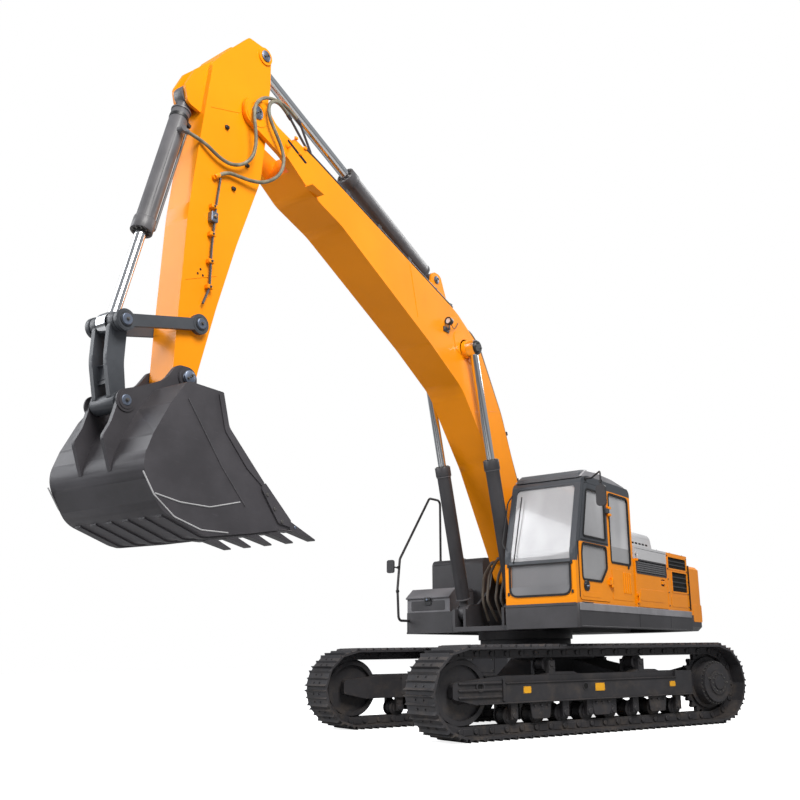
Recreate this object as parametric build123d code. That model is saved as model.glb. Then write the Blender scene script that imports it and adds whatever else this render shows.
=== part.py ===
from build123d import *
from math import atan2, cos, hypot, pi, radians, sin, tan
import os

# Crawler excavator, millimetres. X runs forward in the plane of the working arm, Y to the left
# (the cab's side), Z up. The origin is on the swing axis at the ground. The upper structure lies
# along these axes, and the crawler stands turned under it by SWING_DEG.

SWING_DEG = -23.2

# Fits between pieces
SEAT = 0.3              # gap of pieces that rest against each other
PIN_FIT = 0.05          # radial clearance of a pin in its bore
SIDE_GAP = 10.0         # free play beside a turning boss
WORK_GAP = 15.0         # free space between moving plates

# Crawler
WHEELBASE = 4040.0      # idler axis to sprocket axis
HALF_BASE = WHEELBASE / 2
GAUGE = 2590.0          # track centre to track centre
SHOE_WIDTH = 600.0
SHOE_COUNT = 50
SHOE_GAP = 9.0          # between two shoe plates
PIN_RADIUS = 416.0      # link pins round idler and sprocket
PIN_TO_PLATE = 65.0     # link pin to the shoe's inner face
SHOE_PLATE = 12.0
GROUSER = 28.0          # height of the bars on a shoe
GROUSER_ROOT = 30.0     # width of a bar at the plate
CHAIN_SKIN = 18.0       # band that joins the shoes behind their gaps
RAIL_DEPTH = 50.0       # link pin to the rail's running face
RAIL_INNER = 48.0       # track centre to the inside of a rail
RAIL_WIDTH = 52.0
FRAME_WIDTH = 420.0
FRAME_TOP = 690.0
FRAME_BOTTOM = 385.0
FRAME_REAR = 460.0 - HALF_BASE
FRAME_NOSE = HALF_BASE + 180.0
YOKE_ROOT = HALF_BASE - 480.0      # where the frame forks round the idler
IDLER_WIDTH = 200.0
ROLLER_COUNT = 8
ROLLER_RADIUS = 95.0
ROLLER_FIRST = 690.0 - HALF_BASE
ROLLER_LAST = HALF_BASE - 690.0
CARRIER_RADIUS = 75.0
CARRIER_PLACES = (1320.0 - HALF_BASE, HALF_BASE - 1260.0)
ROLLER_HALF = 108.0     # half a roller's width
COLLAR_WIDTH = 62.0
SPROCKET_TEETH = 23
SPROCKET_WIDTH = 62.0
DRIVE_RADIUS = 280.0
DRIVE_REACH = 265.0     # track centre to the drive's outer face
DRIVE_PLATE = 60.0      # plate that carries the drive
BODY_TOP = 1020.0       # top of the car body's ring seat
RING_RADIUS = 640.0
RING_SPLIT = 1120.0     # lower race to upper race
DECK_BOTTOM = 1222.0
TOW_X, TOW_Z = 800.0, 600.0     # hole of a towing eye
TOW_HOLE = 40.0
TOW_PLATE = 45.0

# Upper structure
DECK_TOP = 1507.0
DECK_HALF = 1490.0
DECK_PLATE = 14.0
DECK_LEFT_FRONT = 1371.0
DECK_RIGHT_FRONT = 720.0
CENTRE_FRONT = 1090.0
TAIL_FRONT = -2520.0    # front face of the counterweight
TAIL_SIDE = -3060.0
TAIL_REACH = -3440.0
TAIL_TOP = 2200.0

# Boom foot and its cylinders' feet
FOOT_X, FOOT_Z = 200.0, 1980.0
FOOT_PIN = 50.0
CYL_FOOT_X, CYL_FOOT_Z = 930.0, 1460.0
BOOM_HALF = 255.0
EAR = 45.0              # thickness of fork and lug plates
TOWER_PLATE = 36.0

# Working arm, in the boom's and the arm's rest place
TIP_X, TIP_Z = 5555.0, 6225.0
EYE_X, EYE_Z = 1810.0, 4735.0
ARM_FOOT_X, ARM_FOOT_Z = 2220.0, 5600.0
TAIL_PIN_X, TAIL_PIN_Z = 5430.0, 6960.0
ARM_HALF = 150.0
BUCKET_CYL_X, BUCKET_CYL_Z = 6280.0, 6080.0
ROCKER_X, ROCKER_Z = 6130.0, 3810.0
LINK_X, LINK_Z = 6905.0, 3620.0
BUCKET_X, BUCKET_Z = 6250.0, 3283.0
TIPPING_X, TIPPING_Z = 6850.0, 2950.0
FORK_DEPTH = 640.0      # arm pivot to the end of the boom's box
FORK_SLOPE = radians(24.3)
NOSE_DEPTH = 480.0      # arm pivot to the start of the boom's narrower nose
TOP_X, TOP_Z = 2000.0, 5190.0   # ends of the boom's straight top
TOP_END_X, TOP_END_Z = 4700.0, 6060.0
PIN = 45.0
TIP_PIN = 50.0
WALL = 14.0             # boom and arm plates
BUCKET_WIDTH = 1180.0
BUCKET_SIDE = 28.0
BUCKET_EAR = 40.0
TEETH = 5
TOOTH_WIDTH = 95.0

# Cylinders: half width of an eye, and per kind the barrel radius, rod radius, barrel length,
# rod length
EYE_HALF = 55.0
BOOM_CYL_Y = 372.0
BOOM_BARREL, BOOM_ROD, BOOM_BARREL_LENGTH, BOOM_ROD_LENGTH = 90.0, 52.0, 1940.0, 2010.0
ARM_BARREL, ARM_ROD, ARM_BARREL_LENGTH, ARM_ROD_LENGTH = 100.0, 58.0, 1870.0, 2210.0
TIP_BARREL, TIP_ROD, TIP_BARREL_LENGTH, TIP_ROD_LENGTH = 85.0, 48.0, 1584.0, 1620.0
BARREL_WALL = 14.0
GLAND = 120.0           # length of the rod's gland
EYE_RADIUS = 100.0
NECK = 170.0            # foot pin to the start of the barrel

# Hydraulic lines on the boom and the two hoses that cross to the arm
LINE = 13.0             # radius of a steel line
LINE_LIFT = 32.0        # boom's top to a line's centre
LINE_PLACES = (191.0, 232.0)    # of the two lines, across
LINE_START = 2080.0
CLAMP_PLACES = (3080.0, 3700.0, 4310.0)
HOSE = 18.0             # radius of a hose
LINE_FITTING = 20.0     # radius of a line's fitting
FITTING = 25.0          # radius of a hose's fitting
FITTING_LENGTH = 60.0
LAMP_X, LAMP_Z = 2258.0, 4982.0     # work lamp on the boom's left side

# Cab
CAB_REAR, CAB_FRONT = -420.0, 1352.0
CAB_RIGHT, CAB_LEFT = 492.0, DECK_HALF - 35.0
CAB_TOP = 3085.0
CAB_WALL = 55.0
CAB_SILL = DECK_TOP + SEAT
DOOR_REAR, DOOR_FRONT = 385.0, 1262.0
DOOR_TOP = CAB_TOP - 95.0
BAR_Z, BAR_HALF = 2010.0, 22.0  # bar across the windscreen
DOOR_GAP = 6.0
DOOR_HINGES = (1790.0, 2700.0)
MIRROR = (1325.0, CAB_LEFT + 365.0, CAB_TOP - 340.0)
HINGE_X, HINGE_Y = DOOR_REAR - 22, CAB_LEFT + 24
DOOR_THICK = 42.0
GLASS = 8.0
KNUCKLE = 13.0          # radius of the hinges on the house
HINGE_IN, HINGE_OUT = 14.0, KNUCKLE + 1.3    # knuckle from a side door's edge and face
HOOD_HINGES = (-420.0, 420.0)
LID_X, LID_Z = 112.0, 1818.0     # hinge of the tool box lid
LID_HINGES = (-1330.0, -900.0)

# House
HOUSE_TOP = 2335.0
HOUSE_SIDE = DECK_HALF - 20.0
PANEL = 30.0
HOUSE_FRONT = -450.0
HOUSE_REAR = TAIL_FRONT + 12.0
DOOR_SPLIT = -1640.0
HOOD_FRONT, HOOD_REAR = -1270.0, -2480.0
HOOD_HINGE_X = HOOD_FRONT + KNUCKLE + 2
HOOD_HALF = 960.0
HOOD_TOP = 2720.0

AXLE = PIN_RADIUS + PIN_TO_PLATE + SHOE_PLATE + GROUSER
LOOP = 2 * WHEELBASE + 2 * pi * PIN_RADIUS
PITCH = LOOP / SHOE_COUNT
CHORD_RADIUS = PIN_RADIUS * cos(PITCH / PIN_RADIUS / 2)
TREAD_RADIUS = CHORD_RADIUS - RAIL_DEPTH - SEAT
LOWER_RAIL = AXLE - PIN_RADIUS + RAIL_DEPTH
UPPER_RAIL = AXLE + PIN_RADIUS - RAIL_DEPTH


def block(x0, x1, y0, y1, z0, z1):
    """Box between two corners."""
    return Pos((x0 + x1) / 2, (y0 + y1) / 2, (z0 + z1) / 2) * Box(x1 - x0, y1 - y0, z1 - z0)


def rounded(corners):
    """Flat face through corners given as (a, b, radius)."""
    path = FilletPolyline(*[(a, b) for a, b, _ in corners],
                          radius=[r for _, _, r in corners], close=True)
    return make_face(path)


def plate_xz(corners, y0, y1):
    """Plate with an outline of (x, z, radius) corners, from y0 to y1."""
    return extrude(Pos(0, y0, 0) * (Plane.XZ * rounded(corners)), amount=y1 - y0, dir=(0, 1, 0))


def plate_xy(corners, z0, z1):
    """Plate with an outline of (x, y, radius) corners, from z0 to z1."""
    return extrude(Pos(0, 0, z0) * rounded(corners), amount=z1 - z0, dir=(0, 0, 1))


def plate_yz(corners, x0, x1):
    """Plate with an outline of (y, z, radius) corners, from x0 to x1."""
    return extrude(Pos(x0, 0, 0) * (Plane.YZ * rounded(corners)), amount=x1 - x0, dir=(1, 0, 0))


def round_y(x, z, radius, y0, y1):
    """Round bar along Y."""
    return Pos(x, (y0 + y1) / 2, z) * Rot(90, 0, 0) * Cylinder(radius, y1 - y0)


def round_z(x, y, radius, z0, z1):
    """Round bar along Z."""
    return Pos(x, y, (z0 + z1) / 2) * Cylinder(radius, z1 - z0)


def pipe(points, radius, bend):
    """Tube-shaped bar along straight runs joined by arcs."""
    path = FilletPolyline(*points, radius=bend) if len(points) > 2 else Line(*points)
    return sweep(Plane(origin=path @ 0, z_dir=path % 0) * Circle(radius), path=path)


def both(shape):
    """A piece and its mirror image on the other side."""
    return [shape, mirror(shape, about=Plane.XZ)]


def pin_frame(index):
    """Pin of the chain in the loop's plane, as x and height above the axles."""
    travel = (index * PITCH) % LOOP
    arc = pi * PIN_RADIUS
    if travel < WHEELBASE:
        return Vector(travel - HALF_BASE, -PIN_RADIUS)
    travel -= WHEELBASE
    if travel < arc:
        turn = travel / PIN_RADIUS - pi / 2
        return Vector(HALF_BASE + PIN_RADIUS * cos(turn), PIN_RADIUS * sin(turn))
    travel -= arc
    if travel < WHEELBASE:
        return Vector(HALF_BASE - travel, PIN_RADIUS)
    turn = (travel - WHEELBASE) / PIN_RADIUS + pi / 2
    return Vector(-HALF_BASE + PIN_RADIUS * cos(turn), PIN_RADIUS * sin(turn))


def link_frame(index):
    """Middle, direction and outward normal of one link."""
    start, end = pin_frame(index), pin_frame(index + 1)
    along = (end - start).normalized()
    return (start + end) / 2, along, Vector(along.Y, -along.X), (end - start).length


def corner_loop(reach):
    """Corners of the chain's loop, at a distance outside the link pins."""
    corners = []
    for index in range(SHOE_COUNT):
        _, _, before, _ = link_frame(index - 1)
        _, _, after, _ = link_frame(index)
        out = (before + after).normalized()
        corners.append(pin_frame(index) + out * (reach / out.dot(after)))
    return corners


def loop_plate(corners, y0, y1):
    """Closed loop of corners, standing round the axles."""
    edges = Polyline(*[(p.X, p.Y + AXLE) for p in corners], close=True)
    return extrude(Pos(0, y0, 0) * (Plane.XZ * make_face(edges)), amount=y1 - y0, dir=(0, 1, 0))


def track():
    """Shoes with three bars each on a chain of two rails, as one closed loop."""
    tip = PIN_TO_PLATE + SHOE_PLATE + GROUSER
    face = PIN_TO_PLATE + SHOE_PLATE
    outer = []
    for index in range(SHOE_COUNT):
        middle, along, out, length = link_frame(index)
        half = (length - SHOE_GAP) / 2
        # columns: place along the shoe, height over the link pins
        rows = ((-half, PIN_TO_PLATE), (-half, tip), (GROUSER_ROOT - half, face),
                (-GROUSER_ROOT / 2, face), (0, tip), (GROUSER_ROOT / 2, face),
                (half - GROUSER_ROOT, face), (half, tip), (half, PIN_TO_PLATE))
        outer += [middle + along * place + out * height for place, height in rows]
    skin = PIN_TO_PLATE - CHAIN_SKIN
    half = SHOE_WIDTH / 2
    band = loop_plate(outer, -half, half) - loop_plate(corner_loop(skin), -half - 1, half + 1)
    outside, inside = corner_loop(skin + CHAIN_SKIN / 3), corner_loop(-RAIL_DEPTH)
    for side in (-1, 1):
        y0, y1 = sorted((side * RAIL_INNER, side * (RAIL_INNER + RAIL_WIDTH)))
        band += loop_plate(outside, y0, y1) - loop_plate(inside, y0 - 1, y1 + 1)
    return band


def track_frame():
    """Left track frame about its own centre plane: box beam, yoke and drive plate."""
    half = FRAME_WIDTH / 2
    beam = plate_xz([(FRAME_REAR, FRAME_BOTTOM, 0), (FRAME_NOSE - 330, FRAME_BOTTOM, 0),
                     (FRAME_NOSE, FRAME_BOTTOM + 75, 30), (FRAME_NOSE, FRAME_TOP - 60, 50),
                     (YOKE_ROOT, FRAME_TOP, 0), (FRAME_REAR, FRAME_TOP, 0)], -half, half)
    slot = IDLER_WIDTH / 2 + WORK_GAP
    beam -= block(YOKE_ROOT, FRAME_NOSE + 1, -slot, slot, 0, AXLE * 2)
    ledge = 42.0
    for side in (-1, 1):
        y0, y1 = sorted((side * half, side * (half - ledge)))
        beam -= block(FRAME_REAR + 300, YOKE_ROOT - 60, y0, y1, FRAME_TOP - 75, FRAME_TOP + 1)
    front = FRAME_REAR + 160
    plate = plate_xz([(front, FRAME_BOTTOM + 10, 0), (front, FRAME_TOP - 10, 0),
                      (FRAME_REAR, FRAME_TOP - 10, 100), (-HALF_BASE - 280, AXLE + 285, 190),
                      (-HALF_BASE - 280, AXLE - 285, 190), (FRAME_REAR, FRAME_BOTTOM + 10, 100)],
                     -half, -half + DRIVE_PLATE)
    plate -= round_y(-HALF_BASE, AXLE, 205 + SEAT, -half - 1, half)
    return beam + plate


def rollers(radius, places, height, seat, collar_top):
    """Rollers in a row, each with the two collars that hold its shaft."""
    solids = []
    for x in places:
        y = ROLLER_HALF
        wheel = round_y(x, height, radius, -y, y)
        for side in (-1, 1):
            y0, y1 = sorted((side * (y - 1), side * (y + COLLAR_WIDTH)))
            low, high = sorted((seat, height - collar_top))
            wheel += block(x - 48, x + 48, y0, y1, low, high)
        solids.append(wheel)
    return solids


def track_rollers():
    """Bottom rollers that carry the frame, and the carrier rollers under the chain's return."""
    step = (ROLLER_LAST - ROLLER_FIRST) / (ROLLER_COUNT - 1)
    places = [ROLLER_FIRST + step * i for i in range(ROLLER_COUNT)]
    height = LOWER_RAIL + ROLLER_RADIUS + SEAT
    solids = rollers(ROLLER_RADIUS, places, height, FRAME_BOTTOM - SEAT, 40)
    height = UPPER_RAIL - CARRIER_RADIUS - SEAT
    return solids + rollers(CARRIER_RADIUS, CARRIER_PLACES, height, FRAME_TOP + SEAT, -40)


def idler():
    """Front wheel with its guide rim, hub and axle blocks."""
    half = IDLER_WIDTH / 2
    wheel = round_y(HALF_BASE, AXLE, TREAD_RADIUS, -half, half)
    wheel += round_y(HALF_BASE, AXLE, TREAD_RADIUS + 28, -RAIL_INNER + 4, RAIL_INNER - 4)
    for side in (-1, 1):
        y0, y1 = sorted((side * half, side * (half - 55)))
        wheel -= (round_y(HALF_BASE, AXLE, TREAD_RADIUS - 52, y0, y1)
                  - round_y(HALF_BASE, AXLE, 105, y0, y1))
        y0, y1 = sorted((side * (half - 1), side * (half + WORK_GAP - SEAT)))
        wheel += round_y(HALF_BASE, AXLE, 85, y0, y1)
    return wheel


def sprocket():
    """Toothed rim between the rails of the chain."""
    tip, root = CHORD_RADIUS + 14, CHORD_RADIUS - 34
    corners = []
    for tooth in range(SPROCKET_TEETH):
        for share, radius in ((-0.36, root), (-0.12, tip), (0.12, tip), (0.36, root)):
            turn = 2 * pi * (tooth + share) / SPROCKET_TEETH
            corners.append(Vector(radius * cos(turn) - HALF_BASE, radius * sin(turn)))
    half = SPROCKET_WIDTH / 2
    return loop_plate(corners, -half, half)


def final_drive():
    """Hub with its stepped cover outside, and the motor's housing through the frame plate."""
    half = FRAME_WIDTH / 2
    x, inner = -HALF_BASE, SPROCKET_WIDTH / 2 + SEAT
    hub = round_y(x, AXLE, 330, inner, inner + 38)
    hub += round_y(x, AXLE, DRIVE_RADIUS, inner + 37, DRIVE_REACH - 60)
    hub += round_y(x, AXLE, DRIVE_RADIUS - 32, DRIVE_REACH - 61, DRIVE_REACH - 22)
    hub += round_y(x, AXLE, 150, DRIVE_REACH - 23, DRIVE_REACH)
    motor = round_y(x, AXLE, 205, -half - 120, -inner)
    motor += round_y(x, AXLE, 250, -half + DRIVE_PLATE + SEAT, -inner - 1)
    return [hub, motor]


def car_body():
    """X-shaped centre: drum, ring seat and four tapering legs to the track frames."""
    reach = GAUGE / 2 - FRAME_WIDTH / 2 - SEAT
    body = plate_xy([(-720, -640, 120), (720, -640, 120), (720, 640, 120), (-720, 640, 120)],
                    470, BODY_TOP - 50)
    body += round_z(0, 0, RING_RADIUS, BODY_TOP - 60, BODY_TOP)
    for fore in (-1, 1):
        for side in (-1, 1):
            near = Plane.XZ.offset(-side * 560) * (Pos(fore * 430, 690) * Rectangle(460, 400))
            far = Plane.XZ.offset(-side * reach) * (Pos(fore * HALF_BASE / 2, 545) * Rectangle(620, 250))
            body += loft([near, far])
    # Level towing plates at the front and the rear, each with an upright hole
    for fore in (-1, 1):
        ends = sorted((fore * 690, fore * (TOW_X + 85)))
        lug = plate_xy([(ends[0], -95, 0 if fore > 0 else 70), (ends[1], -95, 70 if fore > 0 else 0),
                        (ends[1], 95, 70 if fore > 0 else 0), (ends[0], 95, 0 if fore > 0 else 70)],
                       TOW_Z - TOW_PLATE / 2, TOW_Z + TOW_PLATE / 2)
        body += lug - round_z(fore * TOW_X, 0, TOW_HOLE, TOW_Z - TOW_PLATE, TOW_Z + TOW_PLATE)
    return body


def swing_bearing():
    ring = round_z(0, 0, RING_RADIUS - 25, BODY_TOP + SEAT, RING_SPLIT)
    return ring - round_z(0, 0, RING_RADIUS - 150, BODY_TOP, RING_SPLIT + 1)


def upper_frame():
    """Deck with its skirts, the centre box with the boom's tower, and the bearing's upper race."""
    corners = [(TAIL_FRONT + SEAT, -DECK_HALF, 0), (DECK_RIGHT_FRONT, -DECK_HALF, 40),
               (DECK_RIGHT_FRONT, -BOOM_CYL_Y - 180, 0), (CENTRE_FRONT, -BOOM_CYL_Y - 110, 20),
               (CENTRE_FRONT, CAB_RIGHT - 10, 0), (DECK_LEFT_FRONT, CAB_RIGHT - 10, 20),
               (DECK_LEFT_FRONT, DECK_HALF, 40), (TAIL_FRONT + SEAT, DECK_HALF, 0)]
    deck = plate_xy(corners, DECK_BOTTOM, DECK_TOP)
    skirt = 16.0
    inner = DECK_HALF - skirt
    floor = DECK_TOP - DECK_PLATE
    deck -= block(TAIL_FRONT + 30, DECK_LEFT_FRONT - skirt, CAB_RIGHT + 6, inner,
                  DECK_BOTTOM - 1, floor)
    deck -= block(TAIL_FRONT + 30, DECK_RIGHT_FRONT - skirt, -inner, -BOOM_CYL_Y - 196,
                  DECK_BOTTOM - 1, floor)
    deck -= block(TAIL_FRONT + 30, -RING_RADIUS - 60, -BOOM_CYL_Y - 176, CAB_RIGHT - 14,
                  DECK_BOTTOM + 30, floor)
    deck += round_z(0, 0, RING_RADIUS, RING_SPLIT + SEAT, DECK_BOTTOM + 10)
    # Tower plates beside the boom's foot, down to the lugs of the boom cylinders
    tower = [(-1250, DECK_TOP - 20, 0), (-1250, DECK_TOP + 60, 40),
             (FOOT_X - 330, FOOT_Z + 40, 120), (FOOT_X - 120, FOOT_Z + 172, 150),
             (FOOT_X + 170, FOOT_Z + 120, 150), (FOOT_X + 250, FOOT_Z - 190, 90),
             (CYL_FOOT_X - 175, CYL_FOOT_Z + 120, 60), (CYL_FOOT_X + 105, CYL_FOOT_Z + 100, 95),
             (CYL_FOOT_X + 120, DECK_BOTTOM + 60, 30), (CYL_FOOT_X - 40, DECK_BOTTOM, 0),
             (CYL_FOOT_X - 300, DECK_BOTTOM, 0)]
    inside = BOOM_HALF + WORK_GAP
    plate = plate_xz(tower, inside, inside + TOWER_PLATE)
    lug = plate_xz([(CYL_FOOT_X - 250, DECK_BOTTOM + 40, 0),
                    (CYL_FOOT_X - 105, CYL_FOOT_Z + 100, 98),
                    (CYL_FOOT_X + 100, CYL_FOOT_Z + 100, 98),
                    (CYL_FOOT_X + 120, DECK_BOTTOM + 60, 30)],
                   BOOM_CYL_Y + EYE_HALF + SIDE_GAP / 2, BOOM_CYL_Y + EYE_HALF + SIDE_GAP / 2 + 22)
    for piece in both(plate) + both(lug):
        deck += piece
    # The floor is open under the cylinders' eyes
    for side in (-1, 1):
        y0, y1 = sorted((side * (inside + TOWER_PLATE), side * (BOOM_CYL_Y + EYE_HALF + 5)))
        deck -= block(CYL_FOOT_X - 280, CENTRE_FRONT + 1, y0, y1, DECK_BOTTOM + 60, DECK_TOP + 1)
    deck -= block(CYL_FOOT_X - 420, CENTRE_FRONT + 1, -inside, inside, DECK_BOTTOM + 60,
                  DECK_TOP + 1)
    reach = inside + TOWER_PLATE
    deck += round_y(FOOT_X, FOOT_Z, FOOT_PIN, -reach - 6, reach + 6)
    outer = BOOM_CYL_Y + EYE_HALF + SIDE_GAP / 2 + 20
    boss = BOOM_CYL_Y - EYE_HALF - SIDE_GAP / 2
    for side in (-1, 1):
        y0, y1 = sorted((side * (reach - 5), side * outer))
        deck += round_y(CYL_FOOT_X, CYL_FOOT_Z, PIN, y0, y1)
        y0, y1 = sorted((side * (reach - 5), side * boss))
        deck += round_y(CYL_FOOT_X, CYL_FOOT_Z, 95, y0, y1)
    return deck


def counterweight():
    """Cast tail with a rounded plan, its top edge broken and the lower edge drawn in."""
    plan = [(TAIL_FRONT, -DECK_HALF, 0), (TAIL_SIDE, -DECK_HALF, 230),
            (TAIL_REACH, -620, 900), (TAIL_REACH, 620, 900),
            (TAIL_SIDE, DECK_HALF, 230), (TAIL_FRONT, DECK_HALF, 0)]
    body = plate_xy(plan, DECK_BOTTOM + 8, TAIL_TOP)
    rim = body.faces().sort_by(Axis.Z)[-1].edges().filter_by(lambda e: e.center().X < TAIL_FRONT - 5)
    body = chamfer(rim, 45)
    rim = body.faces().sort_by(Axis.Z)[0].edges().filter_by(lambda e: e.center().X < TAIL_FRONT - 5)
    return chamfer(rim, 60)


def cab_profile(inset):
    """Side outline of the cab, moved inward by an inset."""
    return [(CAB_REAR + inset, CAB_SILL + inset, 0), (CAB_FRONT - inset, CAB_SILL + inset, 0),
            (CAB_FRONT - inset, 2120, 300), (1085 - inset * 0.9, CAB_TOP - 40 - inset, 110),
            (930, CAB_TOP - inset, 0), (CAB_REAR + inset, CAB_TOP - inset, 90)]


def windscreen(grow):
    """Outline of the front opening: (y, z, radius) corners."""
    top = CAB_TOP - 125 + grow
    return [(CAB_RIGHT + 75 - grow, 1690 - grow, 40), (CAB_LEFT - 75 + grow, 1690 - grow, 40),
            (CAB_LEFT - 75 + grow, top, 60), (CAB_RIGHT + 75 - grow, top, 60)]


def door_outline(inset):
    """Outline of the cab door: (x, z, radius) corners."""
    return [(DOOR_REAR + inset, CAB_SILL + 40 + inset, 50),
            (DOOR_FRONT - inset, CAB_SILL + 40 + inset, 50),
            (DOOR_FRONT - inset, 2110, 280), (1020 - inset * 0.8, DOOR_TOP - inset, 70),
            (DOOR_REAR + inset, DOOR_TOP - inset, 50)]


PANE_TOP = CAB_TOP - 155     # of the rear and the right pane
QUARTER = [(-335.0, 2050.0, 50), (300.0, 2050.0, 40), (300.0, CAB_TOP - 140, 60),
           (-335.0, CAB_TOP - 140, 70)]
REAR_PANE = [(CAB_RIGHT + 90, 2120.0, 50), (CAB_LEFT - 90, 2120.0, 50),
             (CAB_LEFT - 90, PANE_TOP, 60), (CAB_RIGHT + 90, PANE_TOP, 60)]
RIGHT_PANE = [(-300.0, 2000.0, 50), (1180.0, 2000.0, 50), (1180.0, 2220.0, 150),
              (985.0, PANE_TOP, 60), (-300.0, PANE_TOP, 60)]
HATCH = (120.0, 790.0, CAB_RIGHT + 148, CAB_LEFT - 145)


def grown(corners, amount):
    """The same outline pushed outward on every side."""
    middle_a = sum(a for a, _, _ in corners) / len(corners)
    middle_b = sum(b for _, b, _ in corners) / len(corners)
    return [(a + (amount if a > middle_a else -amount), b + (amount if b > middle_b else -amount), r)
            for a, b, r in corners]


def cab_shell():
    """Hollow cab with its window and door openings cut."""
    shell = plate_xz(cab_profile(0), CAB_RIGHT, CAB_LEFT)
    shell -= plate_xz(cab_profile(CAB_WALL), CAB_RIGHT + CAB_WALL, CAB_LEFT - CAB_WALL)
    shell -= plate_yz(windscreen(0), 830, CAB_FRONT + 5)
    shell += block(CAB_FRONT - CAB_WALL, CAB_FRONT, CAB_RIGHT + 70, CAB_LEFT - 70,
                   BAR_Z - BAR_HALF, BAR_Z + BAR_HALF)
    shell -= plate_xz(door_outline(-DOOR_GAP), CAB_LEFT - CAB_WALL - 2, CAB_LEFT + 2)
    shell -= plate_xz(QUARTER, CAB_LEFT - CAB_WALL - 2, CAB_LEFT + 2)
    shell -= plate_xz(RIGHT_PANE, CAB_RIGHT - 2, CAB_RIGHT + CAB_WALL + 2)
    shell -= plate_yz(REAR_PANE, CAB_REAR - 2, CAB_REAR + CAB_WALL + 2)
    x0, x1, y0, y1 = HATCH
    shell -= block(x0, x1, y0, y1, CAB_TOP - CAB_WALL - 60, CAB_TOP + 2)
    for z in DOOR_HINGES:
        for low in (z - 60 - SEAT, z + 30 + SEAT):
            shell += round_z(HINGE_X, HINGE_Y, 15, low, low + 30)
            shell += block(HINGE_X - 60, HINGE_X, CAB_LEFT - 1, HINGE_Y + 15, low, low + 30)
    return shell


def cab_glass():
    """Panes that fill the cab's openings, each thin and flush a little inside the wall."""
    deep = 14.0
    front = plate_xz(cab_profile(deep), CAB_RIGHT + 75 + SEAT, CAB_LEFT - 75 - SEAT)
    front -= plate_xz(cab_profile(deep + GLASS), CAB_RIGHT, CAB_LEFT)
    window = plate_yz(windscreen(-SEAT), 1000, CAB_FRONT + 5)
    front = front & window
    front -= block(CAB_FRONT - CAB_WALL, CAB_FRONT, CAB_RIGHT, CAB_LEFT,
                   BAR_Z - BAR_HALF - SEAT, BAR_Z + BAR_HALF + SEAT)
    quarter = plate_xz(grown(QUARTER, -SEAT), CAB_LEFT - deep - GLASS, CAB_LEFT - deep)
    right = plate_xz(grown(RIGHT_PANE, -SEAT), CAB_RIGHT + deep, CAB_RIGHT + deep + GLASS)
    rear = plate_yz(grown(REAR_PANE, -SEAT), CAB_REAR + deep, CAB_REAR + deep + GLASS)
    return front.solids() + [quarter, right, rear]


def roof_hatch():
    x0, x1, y0, y1 = HATCH
    lid = block(x0 + SEAT, x1 - SEAT, y0 + SEAT, y1 - SEAT, CAB_TOP - 30, CAB_TOP + 1)
    return lid + plate_xy([(x0 - 25, y0 - 25, 50), (x1 + 25, y0 - 25, 50), (x1 + 25, y1 + 25, 50),
                           (x0 - 25, y1 + 25, 50)], CAB_TOP + SEAT, CAB_TOP + 32)


DOOR_PANE = [(DOOR_REAR + 70, 2310.0, 40), (DOOR_FRONT - 127, 2310.0, 40),
             (978.0, DOOR_TOP - 70, 60), (DOOR_REAR + 70, DOOR_TOP - 70, 50)]
DOOR_LOWER = [(DOOR_REAR + 255, 1785.0, 60), (DOOR_FRONT - 75, 1785.0, 60),
              (DOOR_FRONT - 75, 2100.0, 120), (DOOR_FRONT - 104, 2225.0, 50),
              (DOOR_REAR + 70, 2225.0, 50), (DOOR_REAR + 70, 1960.0, 60)]


def cab_door():
    """Door panel with its upper and lower openings, its handle and two hinges."""
    door = plate_xz(door_outline(0), CAB_LEFT - DOOR_THICK + 6, CAB_LEFT + 6)
    door -= plate_xz(DOOR_PANE, CAB_LEFT - DOOR_THICK, CAB_LEFT + 8)
    door -= plate_xz(DOOR_LOWER, CAB_LEFT - DOOR_THICK, CAB_LEFT + 8)
    for z in DOOR_HINGES:
        door += round_z(HINGE_X, HINGE_Y, 15, z - 30, z + 30)
        door += block(HINGE_X, DOOR_REAR + 60, CAB_LEFT + 5, CAB_LEFT + 33, z - 30, z + 30)
    return door


def door_glass():
    y1 = CAB_LEFT - 8
    panes = [grown(DOOR_PANE, -SEAT), grown(DOOR_LOWER, -SEAT)]
    return [plate_xz(corners, y1 - GLASS, y1) for corners in panes]


def cab_inside():
    """Operator's seat on its stand."""
    seat = plate_xz([(60, 1840, 40), (560, 1840, 60), (575, 1960, 60), (190, 1960, 60),
                     (60, 2560, 60), (-75, 2560, 60)], 740, 1210)
    stand = block(80, 480, 800, 1150, CAB_SILL + CAB_WALL + SEAT, 1842)
    return seat + stand


def consoles():
    """Side consoles with levers, and the monitor's post."""
    solids = []
    for y0, y1 in ((CAB_RIGHT + 65, CAB_RIGHT + 223), (CAB_LEFT - 220, CAB_LEFT - 80)):
        box = plate_xz([(-120, CAB_SILL + CAB_WALL + SEAT, 0),
                        (560, CAB_SILL + CAB_WALL + SEAT, 0), (640, 2020, 60),
                        (520, 2080, 60), (-120, 2080, 60)], y0, y1)
        mid = (y0 + y1) / 2
        box += pipe([(590, mid, 2030), (610, mid, 2230)], 16, 1)
        box += Pos(612, mid, 2265) * Box(52, 46, 95)
        solids.append(box)
    pedals = block(930, 1120, 800, 1150, CAB_SILL + CAB_WALL + SEAT, CAB_SILL + CAB_WALL + 60)
    for y in (880, 1070):
        pedals += pipe([(1040, y, 1600), (1010, y, 2010)], 12, 1)
    solids.append(pedals)
    return solids


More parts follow.
